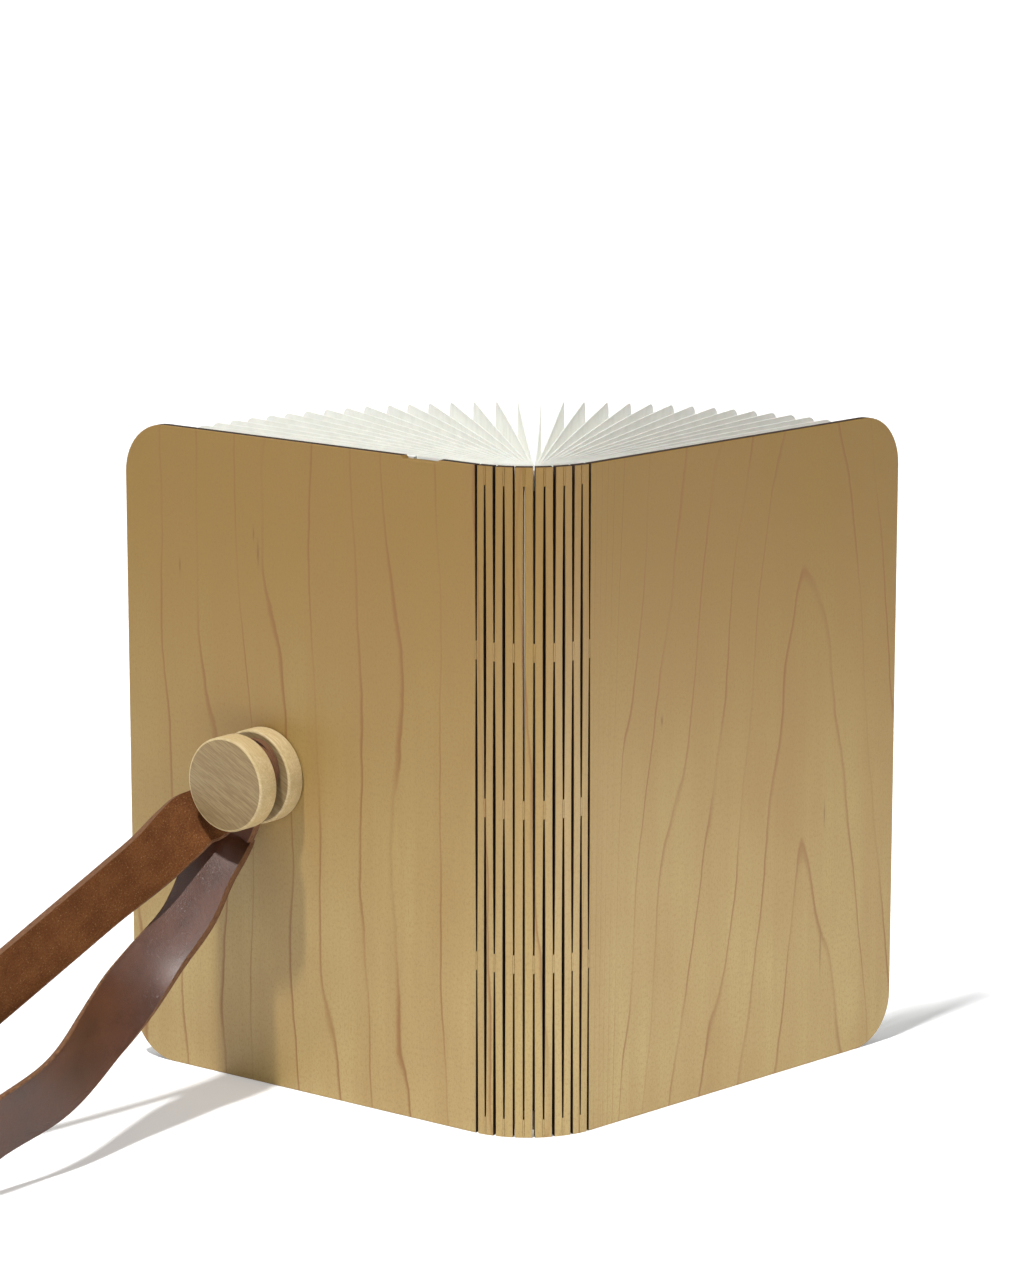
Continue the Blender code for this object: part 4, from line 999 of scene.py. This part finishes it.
def make_strap():
    """At each station: the band's cross direction, square to its way, and its face direction. The
    section is set there, narrowed by a half circle at both ends."""
    fine = strap_line
    walked = walked_lengths(fine)
    half = STRAP_WIDTH / 2
    turns = np.linspace(0, math.pi / 2, 14)[1:]
    rounded_end = half * (1 - np.cos(turns))
    inner = np.arange(half * 1.08, walked[-1] - half * 1.08, 1.6 * MM)
    stations = np.concatenate([rounded_end, inner, walked[-1] - rounded_end[::-1]])
    even = np.stack([np.interp(stations, walked, column) for column in fine.T], axis=1)
    slopes = np.gradient(fine, walked, axis=0).T
    slope = np.stack([np.interp(stations, walked, column) for column in slopes], axis=1)[:, :3]
    way = slope / np.linalg.norm(slope, axis=1, keepdims=True)
    tilt = even[:, 3]
    wide = np.stack([np.cos(tilt), np.zeros_like(tilt), np.sin(tilt)], axis=1)
    wide -= way * np.sum(wide * way, axis=1, keepdims=True)
    wide /= np.linalg.norm(wide, axis=1, keepdims=True)
    face = np.cross(wide, way)
    spare = np.clip(half - np.minimum(stations, walked[-1] - stations), 0, half)
    narrow = np.sqrt(half**2 - spare**2)
    across, depth, flat_count = strap_section()
    rings = (even[:, None, :3] + wide[:, None, :] * (narrow[:, None] * across)[..., None]
             + face[:, None, :] * (depth * STRAP_THICKNESS / 2)[None, :, None])
    flat_place = PEG_FOOT + rings[..., :1] * LEFT_ALONG + rings[..., 1:2] * LEFT_OUT
    places = np.concatenate([flat_place, PEG_UP + rings[..., 2:]], axis=-1)
    count = len(across)
    flat = np.stack(np.broadcast_arrays(stations[:, None], across * half + depth * 0.002), axis=-1)
    columns = tube_columns(len(stations), count)
    half_count = count // 2
    finish = np.full(len(columns), 2)
    finish[columns < flat_count - 1] = 1
    finish[(columns >= half_count) & (columns < half_count + flat_count - 1)] = 0
    strap = make_piece("strap_leather", places, tube_faces(len(stations), count),
                       [suede, grain, cut_leather], finish, flat, crisp=60)
    print("strap length", round(float(walked[-1]), 4), "lowest", round(float(places[..., 2].min()), 5))
    return strap


strap = make_strap()
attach(strap, "strap")
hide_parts("leather_strap")

# %% [markdown]
# ## Finishes of the pieces that stay
# The liners, endpapers, battery, board, socket, magnets and axle keep the shapes that the CAD model
# gives them, and get finishes of their own: moulded plastic, fibre sheet, wrinkled foil,
# green lacquer, drawn steel, plated magnets and turned brass.

# %% Inner finishes
def make_moulded():
    finish, tree, shader = new_finish("moulded_liner", 0.55)
    place = object_place(tree)
    shade = mixed(tree, noise(tree, place, 60.0, 2.0), colour(236, 238, 231), colour(244, 245, 240))
    dress(tree, shader, shade, noise(tree, place, 2600.0, 2.0), 0.00003)
    return finish


def make_metal(name, dark, light, roughness, scale):
    """Metal with fine lines in one direction, from where it was drawn, turned or ground."""
    finish, tree, shader = new_finish(name, roughness, Metallic=1.0)
    lines = drawn_out(tree, object_place(tree), scale)
    uneven = remap(tree, lines, 0.3, 0.7, roughness * 0.8, roughness * 1.25)
    tree.links.new(uneven, shader.inputs["Roughness"])
    dress(tree, shader, mixed(tree, lines, colour(*dark), colour(*light)), lines, 0.00001)
    return finish


def make_foil():
    finish, tree, shader = new_finish("foil_pouch", 0.34, Metallic=0.9)
    place = object_place(tree)
    crease = add(tree, "TexVoronoi", {"Vector": place, "Scale": 120.0},
                 feature="DISTANCE_TO_EDGE").outputs["Distance"]
    wave = noise(tree, place, 90.0)
    relief = calc(tree, "ADD", wave, remap(tree, crease, 0.0, 0.1))
    dress(tree, shader, mixed(tree, wave, colour(196, 200, 204), colour(222, 224, 226)), relief, 0.00006)
    return finish


def make_board_finish():
    finish, tree, shader = new_finish("board_lacquer", 0.38, Coat_Weight=0.4, Coat_Roughness=0.2)
    place = object_place(tree)
    square = stretched(tree, place, (420, 420, 420), (0, 0, -COVER_TURN))
    tracks = add(tree, "TexBrick", {"Vector": square, "Scale": 1.0, "Mortar Size": 0.06,
                                    "Color1": colour(14, 74, 42), "Color2": colour(18, 84, 48),
                                    "Mortar": colour(38, 120, 70)}).outputs["Color"]
    weave = noise(tree, place, 900.0, 2.0)
    shade = mixed(tree, calc(tree, "MULTIPLY", weave, 0.3), tracks, colour(8, 48, 28))
    dress(tree, shader, shade, weave, 0.00002)
    return finish


moulded = make_moulded()
steel = make_metal("drawn_steel", (150, 152, 156), (190, 192, 196), 0.34, (300, 300, 2400))
plated = make_metal("plated_magnet", (178, 180, 184), (208, 210, 212), 0.24, (700, 700, 700))
brass = make_metal("turned_brass", (176, 140, 74), (208, 172, 100), 0.3, (1800, 1800, 300))
foil, lacquer = make_foil(), make_board_finish()
# The endpapers share the pages' finish, and with it its painted glow.
dressed = {
    moulded: ("liner_left", "liner_right"), page_finish: ("endpaper_left", "endpaper_right"),
    foil: ("battery_cell",), lacquer: ("driver_board",), steel: ("charge_socket", "keeper_plate"),
    plated: ("sensor_magnet", "peg_magnet", "closing_magnet_left_low", "closing_magnet_left_high",
             "closing_magnet_right_low", "closing_magnet_right_high"),
    brass: ("peg_axle",),
}
for finish, names in dressed.items():
    for name in names:
        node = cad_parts[name]
        node.data.materials.clear()
        node.data.materials.append(finish)
print("dressed", sum(map(len, dressed.values())), "inner pieces")

# %% [markdown]
# ## Floor, light and camera
# The lamp stands on a plain white floor in a white room. The floor is an ordinary matt surface, so that
# it catches the shadows, and a little brightness of its own goes to the camera only, so that it looks
# white without lighting the lamp. The key is a far lamp high at the front left, its direction judged
# from the shadow on the cover in the photograph. Two long low lamps near the floor light a cover each,
# one square lamp at the left gives the leather its gloss, and the room's own pale light does the rest.
# The lamps' strengths were set beside the photograph. The camera's place and angle come from fitting the
# covers' eight corners in it.

# %% Stage
def make_floor():
    finish, tree, shader = new_finish("floor_white", 0.9, Specular_IOR_Level=0.1)
    cloud = noise(tree, object_place(tree), 3.0, 1.0)
    tree.links.new(mixed(tree, cloud, colour(236, 236, 236), colour(240, 240, 240)),
                   shader.inputs["Base Color"])
    seen = add(tree, "LightPath").outputs["Is Camera Ray"]
    shader.inputs["Emission Color"].default_value = (1, 1, 1, 1)
    tree.links.new(calc(tree, "MULTIPLY", seen, 0.26), shader.inputs["Emission Strength"])
    mesh = bpy.data.meshes.new("floor")
    size = 20.0
    corners = [(-size, -size, 0), (size, -size, 0), (size, size, 0), (-size, size, 0)]
    mesh.from_pydata(corners, [], [(0, 1, 2, 3)])
    mesh.materials.append(finish)
    floor = placed("floor", mesh)
    floor.location.z = -0.05 * MM


def make_room(low, high):
    """A pale room, brighter overhead: its light grows with the square of the direction's height.
    The camera sees plain white."""
    world = bpy.data.worlds.new("white_room")
    bpy.context.scene.world = world
    world.use_nodes = True
    tree = world.node_tree
    tree.nodes.clear()
    path = add(tree, "LightPath")
    seen = calc(tree, "MAXIMUM", path.outputs["Is Camera Ray"], path.outputs["Is Transmission Ray"])
    way = add(tree, "TexCoord").outputs["Generated"]
    height = calc(tree, "MAXIMUM", add(tree, "SeparateXYZ", {0: way}).outputs[2], 0.0)
    level = calc(tree, "MULTIPLY_ADD", calc(tree, "MULTIPLY", height, height), high - low, low)
    dim, white = [add(tree, "Background", {"Color": (1, 1, 1, 1), "Strength": strength}).outputs[0]
                  for strength in (level, 1.0)]
    either = add(tree, "MixShader", {0: seen, 1: dim, 2: white}).outputs[0]
    output = add(tree, "OutputWorld")
    tree.links.new(either, output.inputs["Surface"])


def add_sun(name, azimuth, elevation, softness, strength):
    """A far lamp whose light comes evenly from one direction, with soft-edged shadows."""
    data = bpy.data.lights.new(name, "SUN")
    data.angle = math.radians(softness)
    data.energy = strength
    sun = placed(name, data)
    sun.rotation_euler = (math.pi / 2 - math.radians(elevation), 0, math.radians(azimuth))


def add_lamp(name, azimuth, elevation, distance, size, power):
    """A flat lamp that looks at the book's foot, from a compass angle and a height angle."""
    data = bpy.data.lights.new(name, "AREA")
    data.shape = "RECTANGLE"
    data.size, data.size_y = size
    data.energy = power
    lamp = placed(name, data)
    a, e = math.radians(azimuth), math.radians(elevation)
    way = np.array([math.cos(e) * math.sin(a), -math.cos(e) * math.cos(a), math.sin(e)])
    lamp.location = way * distance + np.array([0, 0, 0.03])
    lamp.rotation_euler = (math.pi / 2 - e, 0, a)
    lamp.visible_camera = False


make_floor()
make_room(0.05, 0.45)
add_sun("key", -41, 70, 4, 3.3)
add_lamp("fill_right", 48, 1, 0.36, (0.4, 0.04), 0.62)
add_lamp("fill_left", -42, 1, 0.36, (0.4, 0.04), 0.26)
add_lamp("gloss", -107, 45, 1.1, (0.5, 0.5), 0.9)
print("stage set")

# %% Camera
IMAGE_HEIGHT = 1280
FOCAL_PIXELS = 4616.2
SENSOR = 36
CAMERA_DOWN, CAMERA_TURN = math.radians(11.7301), math.radians(-3.4964)
data = bpy.data.cameras.new("photograph")
data.sensor_fit = "VERTICAL"
data.sensor_height = SENSOR
data.lens = FOCAL_PIXELS * SENSOR / IMAGE_HEIGHT
camera = placed("photograph", data)
camera.location = (-0.094055, -1.40308, 0.45326)
camera.rotation_euler = (math.pi / 2 - CAMERA_DOWN, 0, CAMERA_TURN)
bpy.context.scene.camera = camera
bpy.context.scene.view_settings.view_transform = "Standard"
print("lens", round(data.lens, 2), "mm on a 36 mm high frame")
